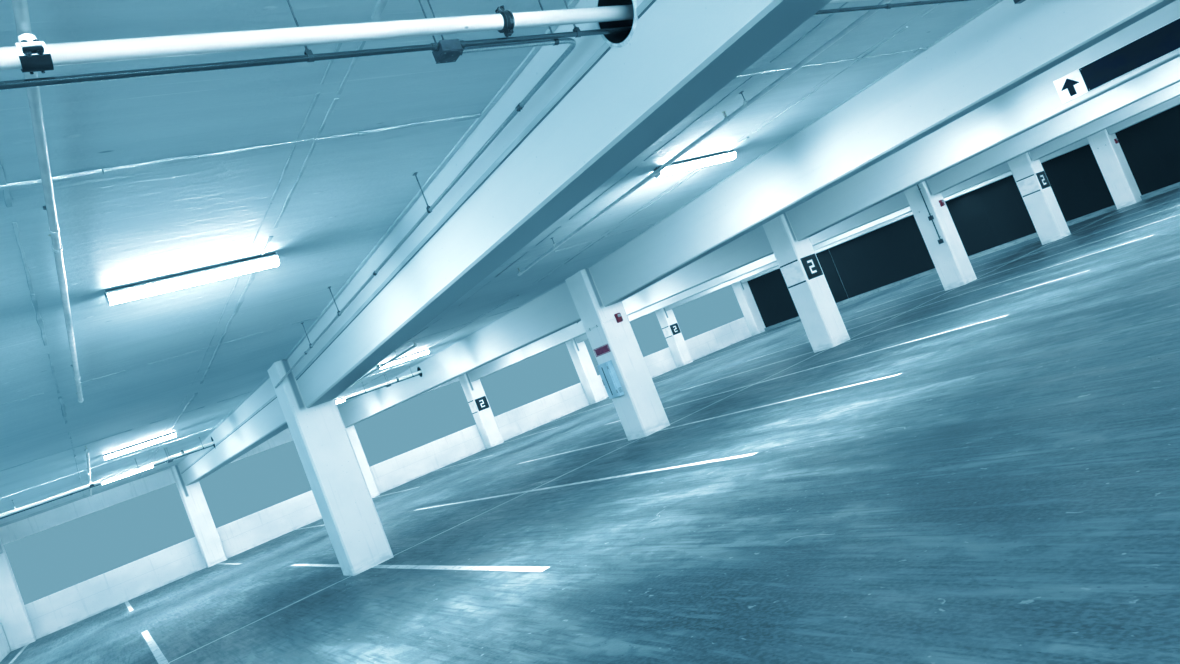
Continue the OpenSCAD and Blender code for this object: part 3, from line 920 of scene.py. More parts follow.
# A thin grey strip of painted shadow on the paint above the grooves.
GROOVE_SHADOW_STRIP = Finish("painted_shadow_above_groove", "#a9b2b6", 0.6, (
    CLOUD((300, 500, 60), 0.4, 0.66, "#c3cbce", 0.7, 0.08),
    grain(14, 0.22),
))
# Near black steel lining of the pipe sleeves and lower half of the saddles: painted shade
# in the bore and under the mains.
SLEEVE_BLACK = Finish("near_black_painted_shade_steel", "#101213", 0.6, (
    CLOUD((60, 60, 60), 0.4, 0.7, "#212325", 0.7, 0.1, 0.3),
))
# Rough mortar made good round the sleeves.
MORTAR = Finish("painted_making_good_mortar", "#cdd4d7", 0.6, (
    CLOUD((40, 40, 40), 0.4, 0.66, "#9aa2a6", 0.6, 0.1, 1.2),
    SPECK((12, 12, 12), 0.1, 0.3, "#787f83", 0.4, relief=-0.5),
))
# Pale matt sheet under the model.
STUDIO_FLOOR = Finish("pale_studio_floor", "#d1d3d4", 0.8, (
    CLOUD((4000, 4000, 4000), 0.35, 0.7, "#c8cbcc", 0.5),
))

# Frame nodes that some of the soft fill passes by.
PIPES = ("branch_pipes", "branch_risers", "sprinkler_mains", "long_conduits")
CEILING = ("upper_deck", *PIPES)

NODE_FINISHES: tuple[tuple[Finish, tuple[str, ...]], ...] = (
    (FLOOR_CONCRETE, ("floor_deck",)),
    (DECK_PAINT, ("upper_deck",)),
    (COLUMN_PAINT, ("front_columns", "middle_columns", "back_columns")),
    (BEAM_PAINT, ("front_beams", "back_beams")),
    (PANEL_PAINT, (
        "front_base_panels", "back_base_panels", "side_base_panels", "front_upper_panels",
        "back_upper_panels", "side_upper_panels", "end_upper_panels",
    )),
    (DARK_WALL, ("end_wall",)),
    (KERB_CONCRETE, ("end_kerb",)),
    (PIPE_ENAMEL, ("sprinkler_mains", "branch_pipes", "branch_risers")),
    (COUPLING_IRON, ("main_couplings",)),
    (ZINC_STEEL, ("main_hangers", "branch_hangers", "conduit_hangers", "cabinet_handle")),
    (CONDUIT_ZINC, ("conduit_clips", "long_conduits", "riser_conduits")),
    (HEAD_BRASS, ("sprinkler_heads",)),
    (BOX_ENAMEL, ("junction_boxes", "riser_boxes")),
    (BEAM_ZINC, ("beam_conduit",)),
    (LAMP_SPINE, ("lamp_housings",)),
    (LAMP_OPAL, ("lamp_lenses",)),
    (SIGN_NAVY, ("sign_panel", "sign_arrow")),
    (SIGN_WHITE, ("sign_arrow_panel", "plate_numbers")),
    (PLATE_BLACK, ("column_plates",)),
    (ALARM_RED, ("alarm_bases",)),
    (CLEAR_LENS, ("alarm_lenses",)),
    (CABINET_COAT, ("cabinet_body", "cabinet_door")),
    (NOTICE_RED, ("notice_plate",)),
)


# Concrete


@dataclass(frozen=True)
class StallMarkings:
    """Painted stall lines, floor joints and filled cracks on both decks."""

    width: float = 0.1
    thickness: float = 0.0015
    reach: float = 5.55
    wear: float = 0.09
    inset: float = 0.1
    shortest: float = 0.05
    clear: float = 0.01
    seam: float = -0.15
    seam_gap: float = 0.065
    back_seam: float = 0.45
    crack_seed: int = 7
    cracked: tuple[Pair, ...] = (
        (-8.17, -7.19), (-10.03, -5.88), (-10.55, -8.09), (-9.5, 8.2), (1.2, 10.0),
        (8.4, 7.4),
    )
    upward: Vector = field(default_factory=lambda: Vector((0.0, 0.0, 1.0)))

    def spans(self, number: int) -> Points:
        """Y spans of the stall lines at one place along the rows.

        Args:
            number: Half bays from the open end; even ones meet a column.

        Returns:
            Pairs of a start and an end in Y.
        """
        start = GRID.span - self.reach
        if number % 2 == 0:
            clear = GRID.column / 2 + self.clear
            inner = [(-self.reach, -clear), (clear, self.reach)]
            outer = [(start, GRID.span - clear)]
        else:
            inner = [(-self.reach, self.reach)]
            outer = [(start, GRID.span + GRID.column / 2 - 3 * self.clear)]
        return inner + outer + [(-high, -low) for low, high in outer]

    def lines(self, form: Form, height: float, slope: float) -> None:
        """Lays the stall lines on one deck, whose top rises away from the middle row.

        Args:
            form: The piece that takes the lines.
            height: Height of the deck's top at the middle row.
            slope: Rise of the top for each metre away from that row.
        """
        for number in range(2 * GRID.bays + 1):
            x = GRID.line(0) + number * GRID.bay / 2
            x = min(max(x, GRID.line(0) + self.inset), GRID.line(GRID.bays) - self.inset)
            for low, high in self.spans(number):
                for start, end in ((low, min(high, 0.0)), (max(low, 0.0), high)):
                    if end - start < self.shortest:
                        continue
                    a = Vector((x, start, height + slope * abs(start)))
                    b = Vector((x, end, height + slope * abs(end)))
                    form.strip(a, b, self.upward, self.width, self.thickness, self.wear)

    def joints(self, form: Form) -> None:
        """Lays the sealed joints between the columns and along the aisles.

        Args:
            form: The piece that takes the joints.
        """
        half = GRID.column / 2 + self.clear
        seams = ((self.seam, 2, 0.07), (self.seam + self.seam_gap, 1, 0.05))
        for number in range(GRID.bays):
            start, end = GRID.line(number) + half, GRID.line(number + 1) - half
            for y, finish, width in seams:
                form.finish = finish
                a, b = Vector((start, y, GRID.floor)), Vector((end, y, GRID.floor))
                form.strip(a, b, self.upward, width, 0.001, 0.3, 0.15)
        form.finish = 0
        y = GRID.span / 2 - self.back_seam
        a = Vector((GRID.line(0) - 0.2, y, GRID.floor))
        b = Vector((GRID.line(GRID.bays) + 0.1, y, GRID.floor))
        form.strip(a, b, self.upward, 0.014, 0.001, 0.4, 0.2)

    def cracks(self, form: Form) -> None:
        """Draws short crooked filled cracks in both aisles.

        Args:
            form: The piece that takes the cracks.
        """
        chance = random.Random(self.crack_seed)
        for x, y in self.cracked:
            spot = Vector((x, y, GRID.floor))
            heading = chance.uniform(-0.6, 0.6)
            for _ in range(7):
                heading += chance.uniform(-0.9, 0.9)
                step = chance.uniform(0.03, 0.09)
                after = spot + Vector((math.cos(heading), math.sin(heading), 0.0)) * step
                form.strip(spot, after, self.upward, 0.007, 0.0008, 0.4, 0.1)
                spot = after

    def build(self) -> None:
        """Builds the lines of both decks, the joints and the cracks."""
        floor = Form("stall_lines")
        self.lines(floor, GRID.floor, 0.0)
        floor.make([LINE_PAINT], "kerb_paint")
        top = Form("upper_stall_lines")
        self.lines(top, GRID.valley + GRID.slab, GRID.fall)
        top.make([LINE_PAINT], "kerb_paint")
        joints = Form("floor_joints")
        self.joints(joints)
        self.cracks(joints)
        joints.make([SEALANT, GROOVE_SHADE_AND_JOINT, LINE_PAINT], "deck_concrete")


@dataclass(frozen=True)
class SlabFins:
    """Thin fins that the joints of the plywood sheets left under the slab."""

    width: float = 0.055
    height: float = 0.016
    seed: int = 11
    off_beam: float = 0.02
    off_row: float = 0.4
    across: tuple[Pair, ...] = ((2.5, 0.4), (7.49, 1.0), (12.5, 0.6), (17.3, 0.5))
    along: tuple[Pair, ...] = ((-1.29, 0.7), (-1.41, 0.3), (-2.85, 0.45))

    def broken(self, form: Form, ends: tuple[Vector, Vector], down: Vector,
               share: float, chance: random.Random) -> None:
        """Runs one fin along a joint, in crooked lengths with gaps between them.

        Args:
            form: The piece that takes the fin.
            ends: The joint's two ends on the slab.
            down: Direction away from the slab.
            share: Size of the fin beside the largest ones.
            chance: Random numbers for its lengths.
        """
        total = (ends[1] - ends[0]).length
        at = 0.0
        while at < total - 0.1:
            stop = min(total, at + chance.uniform(0.3, 2.2) * (0.4 + share))
            size = share * chance.uniform(0.5, 1.1)
            form.strip(ends[0].lerp(ends[1], at / total), ends[0].lerp(ends[1], stop / total),
                       down, self.width * size, self.height * size, 1.1, 0.05)
            at = stop + chance.uniform(0.0, 0.5) * (1.1 - share)

    def build(self) -> None:
        """Runs fins along both directions of every bay."""
        form = Form("slab_fins")
        chance = random.Random(self.seed)
        for number in GRID.bay_lines():
            start = GRID.line(number - 1) + GRID.beam_right + self.off_beam
            end = GRID.line(number) + GRID.beam_left - self.off_beam
            for side in (-1, 1):
                down = Vector((0.0, side * GRID.fall, -1.0))
                for offset, share in self.across:
                    y = side * offset
                    height = GRID.ceiling(y)
                    ends = (Vector((start, y, height)), Vector((end, y, height)))
                    self.broken(form, ends, down, share, chance)
                for shift, share in self.along:
                    x = GRID.line(number) + shift
                    near, far = side * self.off_row, side * (GRID.span - self.off_row)
                    ends = (Vector((x, near, GRID.ceiling(near))),
                            Vector((x, far, GRID.ceiling(far))))
                    self.broken(form, ends, down, share, chance)
        form.make([FIN_PAINT], "deck_concrete")


@dataclass(frozen=True)
class BeamTrim:
    """The ledge along the top of each beam, its groove and the sleeves through it."""

    gap: float = 0.006
    proud: float = 0.05
    depth: float = 0.014
    groove: float = 0.34
    groove_deep: float = 0.008
    sleeve: float = 0.15
    rim: float = 0.02
    clear: float = 0.135
    shadow_width: float = 0.034
    shadow_gap: float = 0.0085
    sides: int = 36

    def build(self) -> None:
        """Builds the ledges, groove beads, linings and rims on all the beams."""
        ledges, beads = Form("beam_ledges"), Form("groove_beads_and_painted_shade")
        rims, linings = Form("sleeve_rims"), Form("sleeve_linings")
        reach = GRID.column / 2 + 0.002
        for number in range(GRID.bays + 1):
            x = GRID.line(number)
            for face, way in ((GRID.beam_left, -1), (GRID.beam_right, 1)):
                for side in (-1, 1):
                    low, high = side * reach, side * (GRID.span - reach)
                    self.ledge(ledges, x + face, way, (low, high))
                    for ends in ((low, side * (GRID.main_offset - self.clear)),
                                 (side * (GRID.main_offset + self.clear), high)):
                        # On the first beam line the bead is dark, as painted shade in the
                        # groove.
                        self.bead(beads, x + face, way, ends, number != 1)
                        if number == 1:
                            # A strip of painted shadow above the groove.
                            self.painted_shadow(beads, x + face, way, ends)
                    self.collar(rims, x + face, way, side)
            for side in (-1, 1):
                self.lining(linings, x, side)
        ledges.make([DECK_PAINT], "deck_concrete")
        beads.make([GROOVE_SHADE_AND_JOINT, GROOVE_SHADOW_STRIP, BEAM_PAINT], "beam_paint")
        rims.make([MORTAR], "beam_paint")
        linings.make([SLEEVE_BLACK], "coupling_iron")

    def run(self, form: Form, ends: Pair, outline: Outline) -> None:
        """Draws an outline along a beam, following the slab.

        Args:
            form: The piece that takes the run.
            ends: The first and the last Y.
            outline: X and depth below the slab of each corner.
        """
        rings = [[(x, y, GRID.ceiling(y) - drop) for x, drop in outline] for y in ends]
        area = sum(
            a[0] * b[1] - b[0] * a[1]
            for a, b in zip(outline, list(outline[1:]) + [outline[0]])
        )
        if area * (ends[1] - ends[0]) > 0:
            rings.reverse()
        form.skin(rings)

    def ledge(self, form: Form, x: float, way: int, ends: Pair) -> None:
        """Runs the shallow ledge under the slab, a shadow gap away from the beam.

        Args:
            form: The piece that takes the ledge.
            x: The beam's face.
            way: Direction in which the face looks along X.
            ends: The first and the last Y.
        """
        near, far = x + way * self.gap, x + way * self.proud
        self.run(form, ends, [
            (near, 0.0004), (far, 0.0004), (far, self.depth - 0.003),
            (far - way * 0.003, self.depth), (near, self.depth),
        ])

    def bead(
        self, form: Form, x: float, way: int, ends: Pair, filled: bool
    ) -> None:
        """Lays the bead in the beam's groove.

        Args:
            form: The piece that takes the bead.
            x: The beam's face.
            way: Direction in which the face looks along X.
            ends: The first and the last Y.
            filled: Paint fills it almost flush, and otherwise a dark bead is painted shade.
        """
        form.finish = 2 if filled else 0
        deep, low = self.groove_deep - 0.0003, self.groove
        lip, middle, half = (0.0003, 0.0003, 0.0094) if filled else (0.002, 0.003, 0.0072)
        self.run(form, ends, [
            (x - way * deep, low), (x - way * lip, low - half),
            (x - way * middle, low), (x - way * lip, low + half),
        ])

    def painted_shadow(self, form: Form, x: float, way: int, ends: Pair) -> None:
        """Lays a thin strip of painted shadow above the groove.

        Args:
            form: The piece that takes the strip.
            x: The beam's face.
            way: Direction in which the face looks along X.
            ends: The first and the last Y.
        """
        form.finish = 1
        edge = self.groove - self.shadow_gap
        near, far = x + way * 0.0001, x + way * 0.0006
        self.run(form, ends, [
            (near, edge - self.shadow_width), (far, edge - self.shadow_width),
            (far, edge), (near, edge),
        ])

    def collar(self, form: Form, x: float, way: int, side: int) -> None:
        """Sets an uneven ring of mortar round one mouth of a sleeve.

        Args:
            form: The piece that takes the ring.
            x: The beam's face.
            way: Direction in which the face looks along X.
            side: Half of the storey, -1 or 1.
        """
        turn = (0.0, 90.0 * way, 0.0)
        form.at(placed(x, side * GRID.main_offset, GRID.main_height(), turn))
        rings = []
        for radius, out in ((0.0, 0.0), (0.0, 0.004), (0.7, 0.0045), (1.0, 0.0)):
            ring = []
            for u, v in regular(1.0, self.sides):
                wave = noise.noise(Vector((u * 2.2 + x, v * 2.2, side)))
                size = self.sleeve - 0.001 + radius * self.rim * (1 + 0.6 * wave)
                ring.append((u * size, v * size, out))
            rings.append(ring)
        form.skin(list(reversed(rings)), wrap=True)

    def lining(self, form: Form, x: float, side: int) -> None:
        """Lines the bore of one sleeve with thin steel, near black as painted shade.

        Args:
            form: The piece that takes the lining.
            x: X of the beam's column line.
            side: Half of the storey, -1 or 1.
        """
        form.at(placed(x + GRID.beam_left, side * GRID.main_offset, GRID.main_height(),
                       (0.0, 90.0, 0.0)))
        deep = GRID.beam_right - GRID.beam_left
        outer, inner = self.sleeve - 0.0004, self.sleeve - 0.0035
        form.lathe([(inner, 0.001), (outer, 0.001), (outer, deep - 0.001),
                    (inner, deep - 0.001)], 32, wrap=True)


@dataclass(frozen=True)
class FacadeSeals:
    """Sealant set back in the open joints of the facade panels."""

    joint: float = 0.02
    thickness: float = 0.012
    panel: float = 0.15
    inset: float = 0.02
    bevel: float = 0.002
    base_top: float = 1.3003
    upper_bottom: float = 3.24
    upper_top: float = 5.0118
    side_panels: int = 6

    def seal(self, form: Form, spot: float, face: float, base_top: float, turned: bool) -> None:
        """Fills the joint in the base panel and the one above it, outside and inside.

        Args:
            form: The piece that takes the sealant.
            spot: Place of the joint along its side of the storey.
            face: Inner face of the panels, with the sign of their side.
            base_top: Height where the lower joint ends.
            turned: The panels run along Y, and otherwise along X.
        """
        half, thick = self.joint / 2 - 0.0002, self.thickness / 2
        for low, high in ((GRID.floor + 0.001, base_top),
                          (self.upper_bottom + 0.01, self.upper_top - 0.01)):
            for back in (self.inset, self.panel - self.inset):
                mid = math.copysign(abs(face) + back, face)
                a, b = (spot - half, mid - thick), (spot + half, mid + thick)
                if turned:
                    a, b = a[::-1], b[::-1]
                form.block((*a, low), (*b, high), self.bevel)

    def build(self) -> None:
        """Fills the joints on all four sides."""
        form = Form("panel_seals")
        deck_y = GRID.span + GRID.column / 2
        deck_x = GRID.line(GRID.bays) + GRID.column / 2
        open_top = self.base_top - 0.01
        for number in range(1, GRID.bays):
            for side in (-1, 1):
                self.seal(form, GRID.line(number), side * deck_y, open_top, False)
        step = 2 * deck_y / self.side_panels
        for number in range(1, self.side_panels):
            y = -deck_y + number * step
            self.seal(form, y, -deck_x, open_top, True)
            self.seal(form, y, deck_x, self.upper_bottom - 0.01, True)
        form.make([SEALANT], "panel_concrete")


# Pipework


@dataclass(frozen=True)
class Pipework:
    """Couplings, saddles, hangers, heads and end caps of the sprinkler pipes."""

    main: float = GRID.main
    branch: float = 0.021
    branch_drop: float = 0.13
    branch_end: float = 2.25
    branch_shift: float = 2.693
    coupling_shift: float = 0.8
    hanger_shift: float = 4.1
    head_inset: float = 0.04
    heads: int = 4
    hung: Pair = (3.37, 7.14)

    def pear(self, radius: float, crown: float, top: float) -> Points:
        """The outline of a strap that hugs a pipe below and closes in a flat crown above.

        Args:
            radius: Radius of the part that hugs the pipe.
            crown: Half the width of the crown.
            top: Height of the crown above the pipe's centre.

        Returns:
            Its points in anticlockwise order.
        """
        return arc(radius, range(150, 391, 15)) + [(crown, top), (-crown, top)]

    def hanger(self, form: Form, place: Matrix, pipe: float, drop: float) -> None:
        """Hangs a pipe by a pear strap, a threaded rod, nuts and a ceiling plate.

        Args:
            form: The piece that takes the hanger.
            place: Point on the slab, with the pipe along X and Z upwards.
            pipe: Radius of the pipe.
            drop: Depth of the pipe's centre below the slab.
        """
        low = placed(z=-drop)
        inner = self.pear(pipe + 0.0004, 0.006, 2 * pipe)
        outer = self.pear(pipe + 0.0034, 0.011, 2 * pipe + 0.003)
        form.at(place @ low @ placed(turn=ALONG_X))
        form.band(outer, inner, 0.025)
        form.at(place @ low, 1)
        crown = 2 * pipe + 0.003
        nut = regular(0.009, 6)
        form.prism(nut, crown, crown + 0.008, 0.001)
        form.prism(nut, crown - 0.012, crown - 0.0035, 0.001)
        form.lathe([(0.0048, crown - 0.014), (0.0048, drop - 0.0006)], 10)
        form.prism(nut, drop - 0.014, drop - 0.0055, 0.001)
        form.prism(rectangle(0.05, 0.032, 0.006), drop - 0.005, drop - 0.0006, 0.001)

    def coupling(self, form: Form, x: float, side: int) -> None:
        """Clamps a ribbed two part coupling round a main, bolted above and below.

        Args:
            form: The piece that takes the coupling.
            x: Its middle along the main.
            side: Half of the storey, -1 or 1.
        """
        place = placed(x, side * GRID.main_offset, GRID.main_height(), ALONG_X)
        form.at(place)
        inner = self.main + 0.0004
        profile = [
            (inner, -0.026), (0.047, -0.026), (0.0503, -0.023), (0.0503, -0.016),
            (0.0465, -0.012), (0.0465, 0.012), (0.0503, 0.016), (0.0503, 0.023),
            (0.047, 0.026), (inner, 0.026),
        ]
        form.lathe(profile, 28, wrap=True)
        for way in (-1, 1):
            form.at(place)
            low, high = sorted((way * 0.044, way * 0.0675))
            form.block((0.002, low, -0.017), (0.019, high, 0.017), 0.003)
            form.block((-0.019, low, -0.017), (-0.002, high, 0.017), 0.003)
            spot = place @ placed(0.0, way * 0.0575, 0.0, (0.0, 90.0, 0.0))
            form.bolt(spot, 0.0055, 0.038, 1)

    def saddle(self, form: Form, x: float, side: int) -> None:
        """Bolts a saddle tee round a main, with its neck up to the branch.

        Args:
            form: The piece that takes the saddle.
            x: Its middle along the main.
            side: Half of the storey, -1 or 1.
        """
        place = placed(x, side * GRID.main_offset, GRID.main_height(), ALONG_X)
        form.at(place)
        inner = self.main + 0.0004
        profile = [
            (inner, -0.042), (0.043, -0.042), (0.046, -0.038), (0.046, 0.038),
            (0.043, 0.042), (inner, 0.042),
        ]
        form.lathe(profile, 28, wrap=True)
        # The crescent under the main is near black, painted shade under the main.
        under = arc(0.0492, range(205, 336, 10)) + arc(0.0462, range(335, 204, -10))
        form.at(place, 2)
        form.prism(under, -0.045, 0.045)
        for way in (-1, 1):
            form.at(place)
            low, high = sorted((way * 0.04, way * 0.068))
            form.block((low, 0.001, -0.03), (high, 0.016, 0.03), 0.004)
            # The lower pads are near black, painted shade under the main.
            form.at(place, 2)
            form.block((low, -0.016, -0.03), (high, -0.001, 0.03), 0.004)
            for along in (-0.017, 0.017):
                spot = place @ placed(way * 0.056, 0.0, along, (-90.0, 0.0, 0.0))
                form.bolt(spot, 0.0055, 0.032, 1)
        form.at(placed(x, side * GRID.main_offset, GRID.main_height()))
        form.lathe([(0.0175, 0.037), (0.031, 0.04), (0.028, 0.054), (0.0265, 0.068),
                    (0.0175, 0.068)], 20, wrap=True)

    def head(self, form: Form, place: Matrix) -> None:
        """Stands an upright head on a branch, with its boss, frame, bulb and toothed plate.

        Args:
            form: The piece that takes the head.
            place: The top of the branch, with Z upwards.
        """
        form.at(place, 1)
        form.lathe([(0.0135, -0.012), (0.0135, 0.004), (0.0115, 0.007)], 14)
        form.at(place)
        form.prism(regular(0.0125, 6), 0.0075, 0.0145, 0.001)
        form.lathe([(0.008, 0.0145), (0.008, 0.019), (0.005, 0.021)], 12)
        for way in (-1, 1):
            arm = [
                (0.0, way * 0.0075, 0.017), (0.0, way * 0.0135, 0.025),
                (0.0, way * 0.0145, 0.034), (0.0, way * 0.011, 0.043),
                (0.0, way * 0.003, 0.0505),
            ]
            form.tube(arm, 0.0026)
        form.lathe([(0.0045, 0.047), (0.0045, 0.054), (0.003, 0.057)], 10)
        plate = []
        for index, (u, v) in enumerate(regular(1.0, 36)):
            radius = 0.0145 if index % 3 == 0 else 0.0208
            plate.append((u * radius, v * radius))
        form.prism(plate, 0.057, 0.0585)
        form.at(place, 2)
        form.lathe([(0.0012, 0.021), (0.0022, 0.026), (0.0022, 0.04), (0.0012, 0.047)], 8)

    def collar(self, form: Form, place: Matrix) -> None:
        """Clamps a thin ribbed collar round a branch below a head.

        Args:
            form: The piece that takes the collar.
            place: The branch's centre, with Z along the branch.
        """
        inner = self.branch + 0.0003
        form.at(place)
        form.lathe([
            (inner, -0.021), (0.0255, -0.021), (0.0262, -0.016), (0.0245, -0.013),
            (0.0245, 0.013), (0.0262, 0.016), (0.0255, 0.021), (inner, 0.021),
        ], 20, wrap=True)

    def dress_branch(self, x: float, side: int, heads: Form, caps: Form, hangers: Form) -> None:
        """Dresses one branch with its hangers, its heads, their collars and its end caps.

        Args:
            x: X of the branch.
            side: Half of the storey, -1 or 1.
            heads: The piece that takes the heads.
            caps: The piece that takes the collars and the end caps.
            hangers: The piece that takes the hangers.
        """
        for y in (*self.hung, *(GRID.span - y for y in reversed(self.hung))):
            spot = under_slab(x, side * y) @ placed(turn=(0.0, 0.0, 90.0))
            self.hanger(hangers, spot, self.branch, self.branch_drop)
        spacing = (GRID.span - 2 * self.branch_end - 2 * self.head_inset) / (self.heads - 1)
        top = self.branch - self.branch_drop + 0.0003
        for step in range(self.heads):
            y = side * (self.branch_end + self.head_inset + step * spacing)
            spot = under_slab(x, y)
            self.head(heads, spot @ placed(z=top))
            self.collar(caps, spot @ placed(z=-self.branch_drop, turn=ALONG_Y))
        for y, way in ((self.branch_end, -1), (GRID.span - self.branch_end, 1)):
            turn = (-90.0 * side * way, 0.0, 0.0)
            caps.at(under_slab(x, side * y) @ placed(z=-self.branch_drop, turn=turn))
            caps.lathe([(0.024, 0.0005), (0.0245, 0.006), (0.0225, 0.012), (0.012, 0.0135)], 20)

    def build(self) -> None:
        """Builds every fitting in both halves of the storey."""
        couplings, saddles = Form("pipe_couplings"), Form("branch_saddles")
        heads, caps = Form("upright_heads"), Form("branch_caps")
        main_hangers, branch_hangers = Form("main_pear_hangers"), Form("branch_pear_hangers")
        for number in GRID.bay_lines():
            line = GRID.line(number)
            branch_x = line - self.branch_shift
            for side in (-1, 1):
                self.coupling(couplings, line - self.coupling_shift, side)
                self.saddle(saddles, branch_x, side)
                spot = under_slab(line - self.hanger_shift, side * GRID.main_offset)
                level = Matrix.Translation(spot.translation)
                self.hanger(main_hangers, level, self.main, GRID.main_drop)
                self.dress_branch(branch_x, side, heads, caps, branch_hangers)
        couplings.make([COUPLING_IRON, BOLT_STEEL], "coupling_iron", ["main_couplings"])
        saddles.make([PIPE_ENAMEL, BOLT_STEEL, SLEEVE_BLACK], "coupling_iron")
        main_hangers.make([PIPE_ENAMEL, ZINC_STEEL], "hanger_steel", ["main_hangers"])
        branch_hangers.make([PIPE_ENAMEL, ZINC_STEEL], "hanger_steel", ["branch_hangers"])
        heads.make([HEAD_BRASS, PIPE_ENAMEL, BULB_GLASS], "head_brass", ["sprinkler_heads"])
        caps.make([PIPE_ENAMEL], "pipe_paint")


# Conduits and lamps


@dataclass(frozen=True)
class Electrical:
    """Couplers, boxes and hangers of the conduits."""

    conduit: float = 0.0135
    offset: float = 8.95
    below_main: float = 0.068
    box_shift: float = 1.11
    box_offset: float = 8.93
    box_dip: float = 0.016
    box: Triple = (0.102, 0.102, 0.06)
    hung: Pair = (1.75, 0.363)
    box_coupler: float = 0.03
    box_out: float = 0.016
    coupled_back: float = 3.1
    coupled_ahead: float = 0.95
    run_drop: float = 0.3032
    run_out: float = 0.223
    run_side: float = 8.91
    run_hung: tuple[float, ...] = (2.41, 3.81, 6.62)
    run_coupled: tuple[float, ...] = (2.1, 5.15, 8.2)
    level_hung: float = 0.147
    riser_side: float = -0.15
    riser_boxed: tuple[float, ...] = (1.25, 1.9)
    riser_held: tuple[float, ...] = (1.375, 2.0, 2.7)

    def height(self) -> float:
        """Height of the centre of the long conduits."""
        return GRID.main_height() - self.below_main

    def coupler(self, form: Form, place: Matrix, length: float = 0.05) -> None:
        """Slides a set screw coupler over a conduit that runs along Z.

        Args:
            form: The piece that takes the coupler.
            place: Its middle.
            length: Its length.
        """
        form.at(place)
        half = length / 2
        inner = self.conduit + 0.0003
        form.lathe([(inner, -half), (0.0165, -half), (0.0172, -half + 0.003),
                    (0.0172, half - 0.003), (0.0165, half), (inner, half)], 18, wrap=True)
        for along in (-half / 2, half / 2):
            form.at(place @ placed(0.0, 0.0, along, ALONG_Y))
            form.prism(regular(0.0045, 6), 0.016, 0.0215, 0.0006)

    def box_with_lid(self, form: Form, place: Matrix, size: Triple) -> None:
        """Makes a pressed box with a lid, screws and round knock outs.

        Args:
            form: The piece that takes the box.
            place: Centre of the box, with the lid towards Z.
            size: Length, width and depth of the box.
        """
        form.at(place)
        length, width, depth = (value / 2 for value in size)
        form.block((-length, -width, -depth), (length, width, depth - 0.005), 0.004)
        form.block((-length - 0.001, -width - 0.001, depth - 0.0045),
                   (length + 0.001, width + 0.001, depth), 0.0015)
        form.corner_screws(place, (length - 0.012, width - 0.012, depth), 0.0045, 1)
        for way in (-1, 1):
            for along in (-0.022, 0.022):
                form.at(place @ placed(along, way * width, 0.0, (-90.0 * way, 0.0, 0.0)))
                form.lathe([(0.0115, -0.0002), (0.0115, 0.0008), (0.0095, 0.0012),
                            (0.0095, 0.0004)], 16)

    def box_rods(self, form: Form, x: float, side: int) -> None:
        """Hangs a box by two threaded rods that pass beside the main.

        Args:
            form: The piece that takes the rods.
            x: Middle of the box.
            side: Half of the storey, -1 or 1.
        """
        y = side * (self.box_offset - 0.033)
        low = self.height() - self.box_dip + self.box[2] / 2
        high = GRID.ceiling(y)
        for way in (-1, 1):
            form.at(placed(x + way * 0.022, y, 0.0), 1)
            form.lathe([(0.004, low + 0.0003), (0.004, high - 0.0006)], 8)
            form.prism(regular(0.008, 6), low + 0.0004, low + 0.0074, 0.001)
            form.prism(regular(0.008, 6), high - 0.012, high - 0.005, 0.001)
            form.prism(rectangle(0.036, 0.03, 0.005), high - 0.005, high - 0.0006, 0.001)

    def long_runs(self, couplers: Form, boxes: Form, clips: Form) -> None:
        """Dresses the long conduits of both halves with couplers, boxes and hangers.

        Args:
            couplers: The piece that takes the couplers.
            boxes: The piece that takes the boxes.
            clips: The piece that takes the rods and straps.
        """
        z = self.height()
        for number in GRID.bay_lines():
            line = GRID.line(number)
            for side in (-1, 1):
                y = side * self.offset
                x = line - self.box_shift
                spot = placed(x, side * self.box_offset, z - self.box_dip, (180.0, 0.0, 0.0))
                self.box_with_lid(boxes, spot, self.box)
                self.box_rods(clips, x, side)
                for way in (-1, 1):
                    end = x + way * (self.box[0] / 2 + self.box_out)
                    self.coupler(couplers, placed(end, y, z, ALONG_X), self.box_coupler)
                self.coupler(couplers, placed(line - self.coupled_back, y, z, ALONG_X))
                if number < GRID.bays:
                    self.coupler(couplers, placed(line + self.coupled_ahead, y, z, ALONG_X))
                for shift in self.hung:
                    spot = placed(line - shift, y, GRID.ceiling(y))
                    Pipework().hanger(clips, spot, self.conduit, GRID.ceiling(y) - z)

    def beam_run(self, couplers: Form, hangers: Form) -> None:
        """Dresses the conduit beside the second beam, its bend and its level end.

        Args:
            couplers: The piece that takes the couplers.
            hangers: The piece that takes the hangers.
        """
        x = GRID.line(1) + GRID.beam_left - self.run_out
        for y in self.run_hung:
            spot = under_slab(x, -y) @ placed(turn=(0.0, 0.0, 90.0))
            Pipework().hanger(hangers, spot, self.conduit, self.run_drop)
        for y in self.run_coupled:
            spot = under_slab(x, -y) @ placed(z=-self.run_drop, turn=ALONG_Y)
            self.coupler(couplers, spot)
        top = GRID.ceiling(self.run_side)
        spot = placed(x - self.level_hung, -self.run_side, top)
        Pipework().hanger(hangers, spot, self.conduit, self.run_drop)
        end = GRID.line(1) - self.box_shift + self.box[0] / 2 + self.box_out
        spot = placed(end, -self.run_side, top - self.run_drop, ALONG_X)
        self.coupler(couplers, spot, self.box_coupler)

